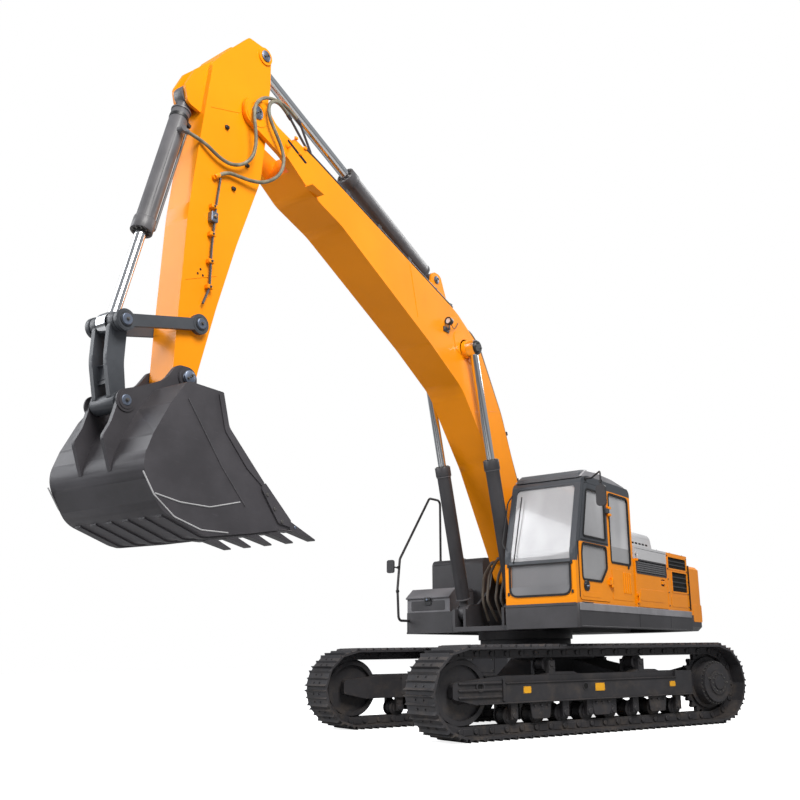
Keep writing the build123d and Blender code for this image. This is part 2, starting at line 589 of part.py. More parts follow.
# Recessed grilles of the left side: x from, x to, z from, z to, and the number of bars
LOUVRE = (-1600.0, -500.0, 1975.0, 2145.0, 5)
REAR_GRILLE = (-2440.0, -1830.0, 1785.0, 2065.0, 3)
UPPER_GRILLE = (-2440.0, -1700.0, 2115.0, 2275.0, 2)
GRILLE_DEPTH, BLADE = 14.0, 9.0


def grille(place):
    """What a recessed grille takes out of the left side, less its level bars."""
    x0, x1, z0, z1, bars = place
    recess = plate_xz([(x0, z0, 12), (x1, z0, 12), (x1, z1, 12), (x0, z1, 12)],
                      HOUSE_SIDE - GRILLE_DEPTH, HOUSE_SIDE + 1)
    pitch = (z1 - z0) / (bars + 1)
    for bar in range(1, bars + 1):
        z = z0 + bar * pitch
        recess -= block(x0 - 1, x1 + 1, HOUSE_SIDE - GRILLE_DEPTH - 1, HOUSE_SIDE - 3,
                        z - BLADE, z + BLADE)
    return recess


def house():
    """Fixed walls and roof of the machine house round the engine, tanks and pumps."""
    z0, side = DECK_TOP + SEAT, HOUSE_SIDE
    inner = CAB_RIGHT + 10
    left = block(DOOR_SPLIT - PANEL, DOOR_SPLIT + PANEL, inner, side - 4, z0, HOUSE_TOP)
    left += block(HOUSE_REAR, DOOR_SPLIT, side - PANEL, side, z0, HOUSE_TOP)
    left -= grille(REAR_GRILLE)
    left -= grille(UPPER_GRILLE)
    left += block(HOUSE_FRONT - PANEL, HOUSE_FRONT, inner, side, z0, HOUSE_TOP)
    left += plate_xy([(HOUSE_REAR, HOOD_HALF - 50, 0), (HOUSE_FRONT, HOOD_HALF - 50, 0),
                      (HOUSE_FRONT, side, 0), (HOUSE_REAR, side, 0)], HOUSE_TOP - PANEL, HOUSE_TOP)
    left += block(HOUSE_REAR, DOOR_SPLIT + 5, inner, inner + 20, z0, HOUSE_TOP - 240)
    right = block(HOUSE_REAR, DOOR_SPLIT, -side, PANEL - side, z0, z0 + 90)
    right += block(DOOR_SPLIT - PANEL, DOOR_SPLIT + PANEL, -side, -540, z0, HOUSE_TOP)
    right += block(HOUSE_REAR, HOUSE_REAR + PANEL, -side, -HOOD_HALF + 50, z0, HOUSE_TOP)
    right += plate_xy([(HOUSE_REAR, -side, 0), (DOOR_SPLIT + PANEL, -side, 0),
                       (DOOR_SPLIT + PANEL, -HOOD_HALF + 50, 0), (HOUSE_REAR, -HOOD_HALF + 50, 0)],
                      HOUSE_TOP - PANEL, HOUSE_TOP)
    front = block(HOOD_FRONT - 50, HOOD_FRONT - 20, -539, inner - 1, z0, HOUSE_TOP)
    for y in HOOD_HINGES:
        for low in (y - 66 - SEAT, y + 40 + SEAT):
            front += round_y(HOOD_HINGE_X, HOUSE_TOP + 3, KNUCKLE, low, low + 26)
            front += block(HOOD_FRONT - 30, HOOD_HINGE_X, low, low + 26, HOUSE_TOP - 40,
                           HOUSE_TOP)
            front += block(HOOD_FRONT + 3, HOOD_HINGE_X + KNUCKLE, low, low + 26, HOUSE_TOP - 12,
                           HOUSE_TOP + 3)
    _, edge, low, top = door_place(1)
    for half in door_hinges(edge, low, top):
        left += half
    _, edge, low, top = door_place(-1)
    for half in door_hinges(edge, low, top):
        right += mirror(half, about=Plane.XZ)
    return [left, right, front]


def door_place(side):
    """Rear edge, front edge, foot and top of a side door of the house."""
    top = HOUSE_TOP - PANEL - DOOR_GAP
    if side > 0:
        return (DOOR_SPLIT + PANEL + DOOR_GAP, HOUSE_FRONT - PANEL - DOOR_GAP,
                DECK_TOP + 12, top)
    return HOUSE_REAR + PANEL + DOOR_GAP, DOOR_SPLIT - PANEL - DOOR_GAP, DECK_TOP + 104, top


def side_door(side):
    """Side door of the house with a handle recess, about the left side."""
    x0, x1, z0, z1 = door_place(side)
    y1 = HOUSE_SIDE
    door = plate_xz([(x0, z0, 20), (x1, z0, 20), (x1, z1, 20), (x0, z1, 20)], y1 - PANEL, y1)
    if side > 0:
        door -= grille(LOUVRE)
    hand = x0 + 70
    door -= plate_xz([(hand, 1835, 20), (hand + 150, 1835, 20), (hand + 150, 1930, 20),
                      (hand, 1930, 20)], y1 - 18, y1 + 1)
    for z in (z0 + 110, z1 - 110):
        door += round_z(x1 - HINGE_IN, y1 + HINGE_OUT, KNUCKLE, z - 34, z + 34)
        door += block(x1 - HINGE_IN - 42, x1 - HINGE_IN, y1 - 1, y1 + HINGE_OUT + 6, z - 30, z + 30)
    return door if side > 0 else mirror(door, about=Plane.XZ)


def door_hinges(edge, z0, z1):
    """Fixed halves of a side door's hinges, with their feet on the wall before the edge."""
    halves = []
    y = HOUSE_SIDE
    x = edge - HINGE_IN
    for z in (z0 + 110, z1 - 110):
        for low in (z - 34 - SEAT - 26, z + 34 + SEAT):
            halves.append(round_z(x, y + HINGE_OUT, KNUCKLE, low, low + 26)
                          + block(x, edge + DOOR_GAP + 24, y + 4, y + HINGE_OUT + 6, low, low + 26)
                          + block(edge + DOOR_GAP + 2, edge + DOOR_GAP + 24, y - 1, y + 5,
                                  low, low + 26))
    return halves


def engine_hood():
    """Raised hood over the engine, open below, with its outer edge rounded."""
    z0 = HOUSE_TOP + DOOR_GAP
    outer = [(-HOOD_HALF, z0, 0), (HOOD_HALF, z0, 0), (HOOD_HALF - 60, HOOD_TOP, 120),
             (-HOOD_HALF + 60, HOOD_TOP, 120)]
    inner = [(-HOOD_HALF + 30, z0 - 5, 0), (HOOD_HALF - 30, z0 - 5, 0),
             (HOOD_HALF - 86, HOOD_TOP - 28, 90), (-HOOD_HALF + 86, HOOD_TOP - 28, 90)]
    hood = plate_yz(outer, HOOD_REAR, HOOD_FRONT)
    hood -= plate_yz(inner, HOOD_REAR + 28, HOOD_FRONT - 28)
    for y in HOOD_HINGES:
        hood += round_y(HOOD_HINGE_X, HOUSE_TOP + 3, KNUCKLE, y - 40, y + 40)
        hood += block(HOOD_FRONT - 5, HOOD_HINGE_X + KNUCKLE, y - 36, y + 36, HOUSE_TOP + 8,
                      HOUSE_TOP + 60)
    return hood


def engine_block():
    return block(-2330, -1420, -530, 450, DECK_TOP + SEAT, 2420)


def fuel_tank():
    return plate_xz([(-760, DECK_TOP + SEAT, 0), (90, DECK_TOP + SEAT, 0), (90, 2275, 90),
                     (-760, 2275, 40)], -HOUSE_SIDE, -600)


def hydraulic_tank():
    tank = plate_xz([(-1600, DECK_TOP + SEAT, 0), (-766, DECK_TOP + SEAT, 0),
                     (-766, HOUSE_TOP, 40), (-1600, HOUSE_TOP, 40)], -HOUSE_SIDE, -600)
    return tank + round_z(-1110, -1180, 110, HOUSE_TOP - 5, HOUSE_TOP + 45)


BOX_FRONT = [(100.0, 1507.3), (712.0, 1507.3), (712.0, 1690.0), (560.0, 1800.0), (100.0, 1800.0)]


def tool_box():
    """Open-topped box with a sloping front on the right deck corner."""
    box = plate_xz([(x, z, 0) for x, z in BOX_FRONT], -HOUSE_SIDE, -760)
    inner = [(130, 1540), (682, 1540), (682, 1705), (545, 1802), (130, 1802)]
    box -= plate_xz([(x, z, 0) for x, z in inner], -HOUSE_SIDE + 30, -790)
    for y in LID_HINGES:
        for low in (y - 56 - SEAT, y + 30 + SEAT):
            box += round_y(LID_X, LID_Z, 9, low, low + 26)
            box += block(LID_X - 8, LID_X + 8, low, low + 26, 1799, LID_Z)
    return box


def tool_box_lid():
    corners = [(128, 1806, 0), (561, 1806, 0), (730, 1686, 8), (746, 1704, 8), (572, 1832, 20),
               (128, 1832, 8)]
    lid = plate_xz(corners, -HOUSE_SIDE - 8, -752)
    for y in LID_HINGES:
        lid += round_y(LID_X, LID_Z, 9, y - 30, y + 30)
        lid += block(LID_X, 150, y - 26, y + 26, LID_Z - 8, LID_Z + 8)
    return lid


def valve_block():
    solids = [block(-1120, -420, -225, 225, DECK_TOP + SEAT, 1960)]
    solids.append(round_z(-180, 0, 135, DECK_TOP + SEAT, 1830))
    return solids


def handrails():
    """Rail of the right-hand walkway, with the right mirror fixed to it."""
    y = -HOUSE_SIDE + 30
    rail = pipe([(-90, y, 2275 + SEAT), (-90, y, 3190), (190, y, 3190), (930, y, 2240),
                 (985, y, 1830), (960, y, 1400), (DECK_RIGHT_FRONT + SEAT, y, 1400)], 17, 70)
    rail += pipe([(950, y, 2110), (975, y - 60, 2130), (980, y - 110, 2130)], 10, 20)
    rail += plate_yz([(y - 180, 2050, 30), (y - 60, 2050, 30), (y - 60, 2230, 30),
                      (y - 180, 2230, 30)], 970, 996)
    return rail


def left_mirror():
    """Mirror on an arm over the door's swing, from the front pillar's top."""
    x, y, z = MIRROR
    high = CAB_TOP - 45
    mirror_arm = pipe([(x - 360, CAB_LEFT + SEAT, high), (x - 360, CAB_LEFT + 90, high),
                       (x, y, high), (x, y, z + 110)], 11, 45)
    return mirror_arm + plate_yz([(y - 62, z - 125, 40), (y + 62, z - 125, 40),
                                  (y + 62, z + 125, 40), (y - 62, z + 125, 40)], x - 16, x + 16)


def exhaust():
    foot = HOUSE_TOP + SEAT
    return pipe([(-2150, -1180, foot), (-2150, -1180, foot + 400), (-2330, -1180, foot + 490)],
                62, 90)


def along(foot, eye):
    """Frame at a cylinder's foot with its Z axis along the cylinder and Y kept across."""
    direction = Vector(eye[0] - foot[0], 0, eye[1] - foot[1]).normalized()
    return Plane(origin=(foot[0], 0, foot[1]), x_dir=(direction.Z, 0, -direction.X),
                 z_dir=direction)


def barrel(foot, eye, y, radius, rod, length, pin):
    """Hollow barrel with its gland, and the foot eye with a running bore."""
    frame = along(foot, eye)
    up = (Align.CENTER, Align.CENTER, Align.MIN)
    tube = Pos(0, y, NECK) * Cylinder(radius, length - NECK, align=up)
    tube += Pos(0, y, 0) * Cylinder(EYE_HALF - 3, NECK + 1, align=up)
    tube += Pos(0, y, length - GLAND) * Cylinder(radius + 12, GLAND, align=up)
    tube += Pos(0, y, 0) * Rot(90, 0, 0) * Cylinder(EYE_RADIUS, 2 * EYE_HALF)
    bore = NECK + BARREL_WALL
    tube -= Pos(0, y, bore) * Cylinder(radius - BARREL_WALL, length - GLAND - bore, align=up)
    tube -= Pos(0, y, length - GLAND - 1) * Cylinder(rod + PIN_FIT, GLAND + 2, align=up)
    tube -= Pos(0, y, 0) * Rot(90, 0, 0) * Cylinder(pin + PIN_FIT, 4 * EYE_HALF)
    return frame * tube


def bucket_barrel():
    """Barrel of the bucket cylinder with the port of its hose."""
    tube = barrel(TIP_FOOT_PIN, TIP_EYE_PIN, 0, TIP_BARREL, TIP_ROD, TIP_BARREL_LENGTH, PIN)
    x, y, z = HOSES[0][0]
    port = round_y(x + 62, z + 15, FITTING + 5, TIP_BARREL - 20, y + 12)
    return tube + port + fitting(HOSES[0][0], HOSES[0][1])


def rod(foot, eye, y, radius, length, cap):
    """Rod with its eye, which carries the pin's head."""
    frame = along(foot, eye)
    reach = hypot(eye[0] - foot[0], eye[1] - foot[1])
    up = (Align.CENTER, Align.CENTER, Align.MIN)
    bar = Pos(0, y, reach - length) * Cylinder(radius, length - EYE_RADIUS / 2, align=up)
    bar += Pos(0, y, reach) * Rot(90, 0, 0) * Cylinder(EYE_RADIUS, 2 * EYE_HALF)
    if cap:
        bar += Pos(0, y, reach) * Rot(90, 0, 0) * Cylinder(PIN + 8, 2 * EYE_HALF + cap)
    return frame * bar


BOOM_FOOT_PIN = (CYL_FOOT_X, CYL_FOOT_Z)
BOOM_EYE_PIN = (EYE_X, EYE_Z)
ARM_FOOT_PIN = (ARM_FOOT_X, ARM_FOOT_Z)
ARM_EYE_PIN = (TAIL_PIN_X, TAIL_PIN_Z)
TIP_FOOT_PIN = (BUCKET_CYL_X, BUCKET_CYL_Z)
TIP_EYE_PIN = (LINK_X, LINK_Z)

# Side outline of the boom from its foot round: x, z, corner radius
BOOM_OUTLINE = [(FOOT_X - 150, FOOT_Z - 90, 120), (FOOT_X + 150, FOOT_Z - 140, 130),
                (FOOT_X + 240, FOOT_Z + 120, 200), (1200.0, 3330.0, 900), (1900.0, 4195.0, 700),
                (2600.0, 4608.0, 900), (4290.0, 5482.0, 900), (4790.0, 5650.0, 400),
                (5190.0, 5918.0, 500), (TIP_X + 40, TIP_Z - 165, 140),
                (TIP_X + 165, TIP_Z - 110, 120), (TIP_X + 150, TIP_Z + 150, 150),
                (TIP_X - 120, TIP_Z + 150, 160), (5290.0, 6225.0, 200),
                (TOP_END_X, TOP_END_Z, 500), (TOP_X, TOP_Z, 900), (1480.0, 4880.0, 420),
                (930.0, 4050.0, 900), (FOOT_X - 155, FOOT_Z + 130, 200)]


# Routes of the hoses from the bucket cylinder's and the arm's port to the lines on the boom
HOSES = [
    [(6335, 138, 5630), (6195, 188, 5590), (6030, 196, 5515), (5870, 198, 5500), (5725, 216, 5560),
     (5625, 242, 5680), (5600, 254, 5840), (5622, 256, 6000), (5650, 256, 6150), (5612, 244, 6300),
     (5494, 224, 6424), (5348, 208, 6490), (5205, 198, 6520), (5075, 191, 6508), (4975, 191, 6458)],
    [(5985, 178, 5345), (5900, 186, 5415), (5760, 192, 5432), (5610, 206, 5445), (5470, 230, 5478),
     (5350, 252, 5560), (5258, 262, 5668), (5216, 264, 5800), (5242, 264, 5935), (5332, 264, 6062),
     (5434, 264, 6185), (5468, 264, 6312), (5420, 264, 6406), (5322, 254, 6448), (5230, 240, 6438),
     (5155, 232, 6402)],
]


def arm_hoses():
    """Two hoses, as straight runs joined by arcs as large as their runs allow."""
    hoses = []
    for route in HOSES:
        points = [Vector(*point) for point in route]
        radii = []
        for before, corner, after in zip(points, points[1:], points[2:]):
            turn = radians((corner - before).get_angle(after - corner))
            run = min((corner - before).length, (after - corner).length)
            radii.append(0.45 * run / tan(turn / 2))
        print("hose bends", min(radii), "length", sum((b - a).length for a, b in zip(points, points[1:])))
        path = FilletPolyline(*points, radius=radii)
        hoses.append(sweep(Plane(origin=path @ 0, z_dir=path % 0) * Circle(HOSE), path=path))
    return hoses


def boom_top():
    """Frame on the boom's straight top, with X towards its tip."""
    slope = atan2(TOP_END_Z - TOP_Z, TOP_END_X - TOP_X)
    return Plane(origin=(TOP_X, 0, TOP_Z), x_dir=(cos(slope), 0, sin(slope)),
                 z_dir=(-sin(slope), 0, cos(slope)))


def fitting(start, towards, radius=FITTING):
    """Round fitting at a hose's end, in line with its first run."""
    axis = (Vector(*start) - Vector(*towards)).normalized()
    end = Vector(*start) + axis * FITTING_LENGTH
    return pipe([start, end], radius, 1)


def boom_lines():
    """Two steel lines clamped to the boom's top, with the fittings of the hoses."""
    frame = boom_top()
    top = frame.to_local_coords
    solids = []
    for route, y in zip(HOSES, LINE_PLACES):
        start, towards = Vector(*route[-1]), Vector(*route[-2])
        end = start + (start - towards).normalized() * FITTING_LENGTH
        near = top(end)
        low = Vector(near.X - 320, y, LINE_LIFT)
        tube = pipe([near, low, Vector(LINE_START - TOP_X, y, LINE_LIFT)], LINE, 90)
        solids.append(frame * tube + fitting(route[-1], route[-2], LINE_FITTING))
    lines = solids[0] + solids[1]
    y0, y1 = LINE_PLACES[0] - 26, LINE_PLACES[-1] + 22
    for x in CLAMP_PLACES:
        lines += frame * block(x - TOP_X - 30, x - TOP_X + 30, y0, y1, SEAT, LINE_LIFT + 22)
    return lines


def boom_lamp():
    """Work lamp on a bracket at the boom's left side."""
    side = BOOM_HALF + SEAT
    lamp = block(LAMP_X - 60, LAMP_X + 60, side, side + 14, LAMP_Z - 130, LAMP_Z - 70)
    lamp += block(LAMP_X - 12, LAMP_X + 12, side + 10, side + 62, LAMP_Z - 112, LAMP_Z - 88)
    lamp += round_z(LAMP_X, side + 55, 9, LAMP_Z - 112, LAMP_Z - 30)
    housing = Pos(LAMP_X, side + 55, LAMP_Z) * Rot(0, 90, 0) * Cylinder(46, 56)
    housing -= Pos(LAMP_X + 22, side + 55, LAMP_Z) * Rot(0, 90, 0) * Cylinder(38, 16)
    return lamp + housing


def beyond(depth):
    """Outline of all that lies past a plane across the boom, behind the arm pivot."""
    ux, uz = cos(FORK_SLOPE), sin(FORK_SLOPE)
    x, z = TIP_X - depth * ux, TIP_Z - depth * uz
    reach = 900.0
    left, right = (x - uz * reach, z + ux * reach), (x + uz * reach, z - ux * reach)
    length = 2 * reach
    return [(*left, 0), (*right, 0), (right[0] + ux * length, right[1] + uz * length, 0),
            (left[0] + ux * length, left[1] + uz * length, 0)]


def boom():
    """Welded box boom with a forked tip, cylinder bosses and the arm cylinder's lugs."""
    body = plate_xz(BOOM_OUTLINE, -BOOM_HALF, BOOM_HALF)
    gap = ARM_HALF + SIDE_GAP
    body -= plate_xz(beyond(FORK_DEPTH), -gap, gap)
    for cheek in both(plate_xz(beyond(NOSE_DEPTH), gap + EAR, BOOM_HALF + 1)):
        body -= cheek
    for side in (-1, 1):
        y0, y1 = sorted((side * gap, side * (gap + EAR)))
        body += round_y(TIP_X, TIP_Z, 165, y0, y1)
        y0, y1 = sorted((side * (BOOM_HALF - 10), side * (BOOM_CYL_Y - EYE_HALF - 5)))
        body += round_y(EYE_X, EYE_Z, 115, y0, y1)
        y0, y1 = sorted((side * (EYE_HALF + SIDE_GAP / 2), side * (EYE_HALF + SIDE_GAP / 2 + 32)))
        body += plate_xz([(ARM_FOOT_X - 420, 4990, 0), (ARM_FOOT_X + 170, 5130, 0),
                          (ARM_FOOT_X + 95, ARM_FOOT_Z + 95, 95),
                          (ARM_FOOT_X - 95, ARM_FOOT_Z + 95, 95)], y0, y1)
    hollow = [(520.0, 2520.0, 60), (1180.0, 3520.0, 500), (1900.0, 4290.0, 500),
              (2600.0, 4708.0, 600), (4270.0, 5560.0, 400), (4780.0, 5735.0, 60),
              (4830.0, 5800.0, 0), (4820.0, 5990.0, 0), (TOP_END_X - 20, TOP_END_Z - 78, 60),
              (TOP_X + 30, TOP_Z - 82, 600), (1520.0, 4795.0, 300), (980.0, 4000.0, 500),
              (430.0, 2700.0, 60)]
    body -= plate_xz(hollow, -BOOM_HALF + WALL, BOOM_HALF - WALL)
    body -= round_y(FOOT_X, FOOT_Z, FOOT_PIN + PIN_FIT, -BOOM_HALF - 1, BOOM_HALF + 1)
    body += round_y(TIP_X, TIP_Z, TIP_PIN, -gap - EAR - 12, gap + EAR + 12)
    lug = EYE_HALF + SIDE_GAP / 2 + 30
    return body + round_y(ARM_FOOT_X, ARM_FOOT_Z, PIN, -lug, lug)


# Side outline of the arm from the bucket pin round: x, z, corner radius
ARM_OUTLINE = [(BUCKET_X - 112, BUCKET_Z - 108, 104), (BUCKET_X + 114, BUCKET_Z - 108, 104),
               (6350.0, 3700.0, 900), (6298.0, 4865.0, 2500), (6205.0, 5680.0, 1500),
               (6105.0, 6506.0, 130), (5985.0, 6665.0, 100), (5760.0, 6925.0, 60),
               (5660.0, 6850.0, 60), (5600.0, 6480.0, 140), (TIP_X - 175, TIP_Z + 185, 150),
               (TIP_X - 190, TIP_Z - 130, 190), (5424.0, 5535.0, 700), (5702.0, 4738.0, 2500),
               (5911.0, 4044.0, 2500), (6081.0, 3407.0, 300)]
ARM_HOLLOW = [(6000.0, 3980.0, 60), (6290.0, 3980.0, 60), (6262.0, 4865.0, 900),
              (6170.0, 5680.0, 600), (6070.0, 6440.0, 100), (5830.0, 6740.0, 60),
              (5730.0, 6500.0, 100), (5700.0, 6150.0, 100), (5500.0, 5560.0, 300),
              (5760.0, 4740.0, 900)]
# Tail plates that carry the rod of the arm cylinder, and the lugs of the bucket cylinder
TAIL_PLATE = [(TAIL_PIN_X - 90, TAIL_PIN_Z + 95, 80), (TAIL_PIN_X + 225, TAIL_PIN_Z + 92, 60),
              (6025.0, 6625.0, 60), (5700.0, 6300.0, 60), (TIP_X - 190, TIP_Z + 150, 60),
              (TAIL_PIN_X - 95, TIP_Z + 415, 150)]
CYLINDER_LUG = [(6150.0, 5935.0, 0), (BUCKET_CYL_X + 50, BUCKET_CYL_Z - 112, 70),
                (BUCKET_CYL_X + 95, BUCKET_CYL_Z + 50, 95), (BUCKET_CYL_X - 15, BUCKET_CYL_Z + 280, 60),
                (6030.0, 6600.0, 0), (5990.0, 6400.0, 0)]


def arm():
    """Welded box arm with pivot bosses, tail plates and the bucket cylinder's lugs."""
    body = plate_xz(ARM_OUTLINE, -ARM_HALF, ARM_HALF)
    body -= plate_xz(ARM_HOLLOW, -ARM_HALF + WALL, ARM_HALF - WALL)
    near = EYE_HALF + SIDE_GAP / 2
    for side in (-1, 1):
        y0, y1 = sorted((side * (ARM_HALF - EAR), side * ARM_HALF))
        body += plate_xz(TAIL_PLATE, y0, y1)
        y0, y1 = sorted((side * near, side * (ARM_HALF + 14)))
        body += round_y(TAIL_PIN_X, TAIL_PIN_Z, EYE_RADIUS - 8, y0, y1)
        y0, y1 = sorted((side * near, side * (near + 35)))
        body += plate_xz(CYLINDER_LUG, y0, y1)
    body -= round_y(TIP_X, TIP_Z, TIP_PIN + PIN_FIT, -ARM_HALF - 1, ARM_HALF + 1)
    body -= round_y(BUCKET_X, BUCKET_Z, PIN + PIN_FIT, -ARM_HALF - 1, ARM_HALF + 1)
    body -= round_y(ROCKER_X, ROCKER_Z, PIN + PIN_FIT, -ARM_HALF - 1, ARM_HALF + 1)
    lug = near + 33
    body += round_y(BUCKET_CYL_X, BUCKET_CYL_Z, PIN, -lug, lug)
    # Port of the hose on the arm's left side
    start, towards = HOSES[1][0], HOSES[1][1]
    x, y, z = start
    return body + fitting(start, towards) + round_y(x + 42, z - 34, FITTING, ARM_HALF - 1, y)


def link_bar(start, end, wide, narrow, y0, y1):
    """Bar between two round ends, waisted in the middle."""
    bar = round_y(*start, wide, y0, y1) + round_y(*end, wide, y0, y1)
    frame = along(start, end)
    reach = hypot(end[0] - start[0], end[1] - start[1])
    bar += frame * (Pos(0, (y0 + y1) / 2, reach / 2) * Box(2 * narrow, y1 - y0, reach))
    return bar


def rocker_links():
    """Two rocking levers on one pin through the arm."""
    start, end = (ROCKER_X, ROCKER_Z), (LINK_X, LINK_Z)
    y0 = ARM_HALF + SIDE_GAP
    levers = round_y(*start, PIN, -y0 - 5, y0 + 5)
    for bar in both(link_bar(start, end, 92, 52, y0, y0 + EAR)):
        levers += bar
    for x, z in (start, end):
        for head in both(round_y(x, z, PIN + 12, y0 + EAR - 1, y0 + EAR + 12)):
            levers += head
    return levers


# Outline of one leg of the tipping link, bowed forward: x, z, corner radius
LINK_LEG = [(TIPPING_X - 72, TIPPING_Z - 20, 70), (TIPPING_X + 76, TIPPING_Z - 20, 70),
            (TIPPING_X + 148, (TIPPING_Z + LINK_Z) / 2, 500), (LINK_X + 84, LINK_Z + 10, 80),
            (LINK_X - 84, LINK_Z + 10, 80), (TIPPING_X - 20, (TIPPING_Z + LINK_Z) / 2, 500)]


def tipping_link():
    """H-shaped link of two bowed legs between the rocking levers and the bucket."""
    y1 = ARM_HALF - 2
    leg = EYE_HALF + WORK_GAP
    body = round_y(TIPPING_X, TIPPING_Z, 82, -y1, y1)
    for side in (-1, 1):
        y0, y2 = sorted((side * leg, side * (leg + EAR)))
        body += plate_xz(LINK_LEG, y0, y2)
        y0, y2 = sorted((side * leg, side * y1))
        body += round_y(LINK_X, LINK_Z, 88, y0, y2)
    middle_x = (TIPPING_X + LINK_X) / 2 + 34
    web = TIPPING_Z + (LINK_Z - TIPPING_Z) * 0.36
    body += block(middle_x - 16, middle_x + 16, -leg - 5, leg + 5, web - 90, web + 70)
    return body - round_y(TIPPING_X, TIPPING_Z, PIN + PIN_FIT, -y1 - 1, y1 + 1)


# Side outline of the bucket's mouth side and back: x, z, corner radius
BUCKET_OUTLINE = [(6180.0, 3105.0, 0), (6100.0, 2815.0, 120), (5680.0, 2400.0, 150),
                  (5330.0, 2095.0, 0), (5330.0, 2040.0, 0), (5760.0, 1960.0, 300),
                  (6290.0, 1880.0, 200), (6760.0, 2035.0, 250), (6965.0, 2370.0, 250),
                  (6870.0, 2620.0, 200), (6720.0, 2900.0, 120), (6560.0, 3115.0, 60)]
STRIP = 14.0            # thickness of a wear strip
BUCKET_OUTLINE_OUT = [(x, z - STRIP, r) for x, z, r in BUCKET_OUTLINE]
BUCKET_INNER = [(6130.0, 3160.0, 0), (6060.0, 2830.0, 0), (5640.0, 2420.0, 0),
                (5270.0, 2075.0, 0), (5765.0, 1985.0, 280), (6285.0, 1906.0, 180),
                (6745.0, 2057.0, 225), (6938.0, 2370.0, 225), (6846.0, 2612.0, 180),
                (6700.0, 2886.0, 100), (6480.0, 3060.0, 40), (6150.0, 3085.0, 0)]


# Ears that carry the bucket pin and the tipping pin
EAR_OUTLINE = [(BUCKET_X - 120, BUCKET_Z - 150, 60), (BUCKET_X - 112, BUCKET_Z + 100, 104),
               (BUCKET_X + 104, BUCKET_Z + 98, 104), (6476.0, 3212.0, 200), (6738.0, 3092.0, 200),
               (TIPPING_X + 48, TIPPING_Z + 84, 80), (TIPPING_X + 88, TIPPING_Z - 90, 120),
               (6972.0, 2745.0, 90), (7036.0, 2625.0, 80), (6940.0, 2360.0, 0), (6905.0, 2420.0, 0),
               (6700.0, 2860.0, 0), (6480.0, 3080.0, 0)]
# Plates welded on a side: the cutter at the lip and the stiffener along the mouth
SIDE_CUTTER = [(5335.0, 2050.0, 0), (5490.0, 2072.0, 60), (5720.0, 2360.0, 40), (5668.0, 2405.0, 20),
               (5335.0, 2112.0, 0)]
MOUTH_EDGE = [(5700.0, 2375.0, 0), (5885.0, 2500.0, 80), (6150.0, 2780.0, 120), (6235.0, 3085.0, 20),
              (6182.0, 3098.0, 0), (6103.0, 2815.0, 120), (5672.0, 2403.0, 0)]
STRIPS = 6


def bucket():
    """Plate bucket: wrapped shell, side plates with stiffeners, ears, lip and wear strips."""
    half = BUCKET_WIDTH / 2
    shell = plate_xz(BUCKET_OUTLINE, -half, half)
    shell -= plate_xz(BUCKET_INNER, -half + BUCKET_SIDE, half - BUCKET_SIDE)
    y0 = ARM_HALF + SIDE_GAP
    for piece in both(plate_xz(EAR_OUTLINE, y0, y0 + BUCKET_EAR)):
        shell += piece
    for x, z, wide in ((BUCKET_X, BUCKET_Z, 88), (TIPPING_X, TIPPING_Z, 72)):
        shell += round_y(x, z, PIN, -y0 - 5, y0 + 5)
        for piece in both(round_y(x, z, wide, y0 + BUCKET_EAR - 1, y0 + BUCKET_EAR + 14)):
            shell += piece
    # Cross tube and ribs that tie the ears to the shell's top
    shell += round_y(6420, 3060, 62, -half + BUCKET_SIDE, half - BUCKET_SIDE)
    for piece in both(plate_xz(SIDE_CUTTER, half - 1, half + 16)) + both(
            plate_xz(MOUTH_EDGE, half - 1, half + 9)):
        shell += piece
    # Wear strips under the shell
    for index in range(STRIPS):
        y = -half + 90 + (2 * half - 180) * index / (STRIPS - 1)
        strip = plate_xz(BUCKET_OUTLINE_OUT, y - 35, y + 35) - plate_xz(BUCKET_OUTLINE, y - 36, y + 36)
        shell += strip & block(5420, 6700, y - 35, y + 35, 1800, 2230)
    return shell


def bucket_teeth():
    """Row of teeth, wedge-shaped from the lip to their tips."""
    teeth = []
    span = BUCKET_WIDTH - TOOTH_WIDTH
    lip = 5330.0 - SEAT
    for index in range(TEETH):
        y = -span / 2 + span * index / (TEETH - 1)
        teeth.append(plate_xz([(lip, 2108, 0), (lip, 2028, 0), (4990, 1962, 0), (4990, 1974, 0)],
                              y - TOOTH_WIDTH / 2, y + TOOTH_WIDTH / 2))
    return teeth


def turned(shapes):
    """Pieces of the crawler, turned under the upper structure."""
    return [shape.rotate(Axis.Z, SWING_DEG) for shape in shapes]


def on_sides(shapes):
    """Pieces about a track's centre plane, put on the left and mirrored to the right."""
    left = [Pos(0, GAUGE / 2, 0) * shape for shape in shapes]
    return left, [mirror(shape, about=Plane.XZ) for shape in left]


def save(name, shapes):
    """Write one node's solids to its file."""
    solids = [solid for shape in shapes for solid in shape.solids()]
    whole = solids[0] if len(solids) == 1 else Compound(children=solids)
    export_step(whole, os.path.join("parts", name + ".step"))


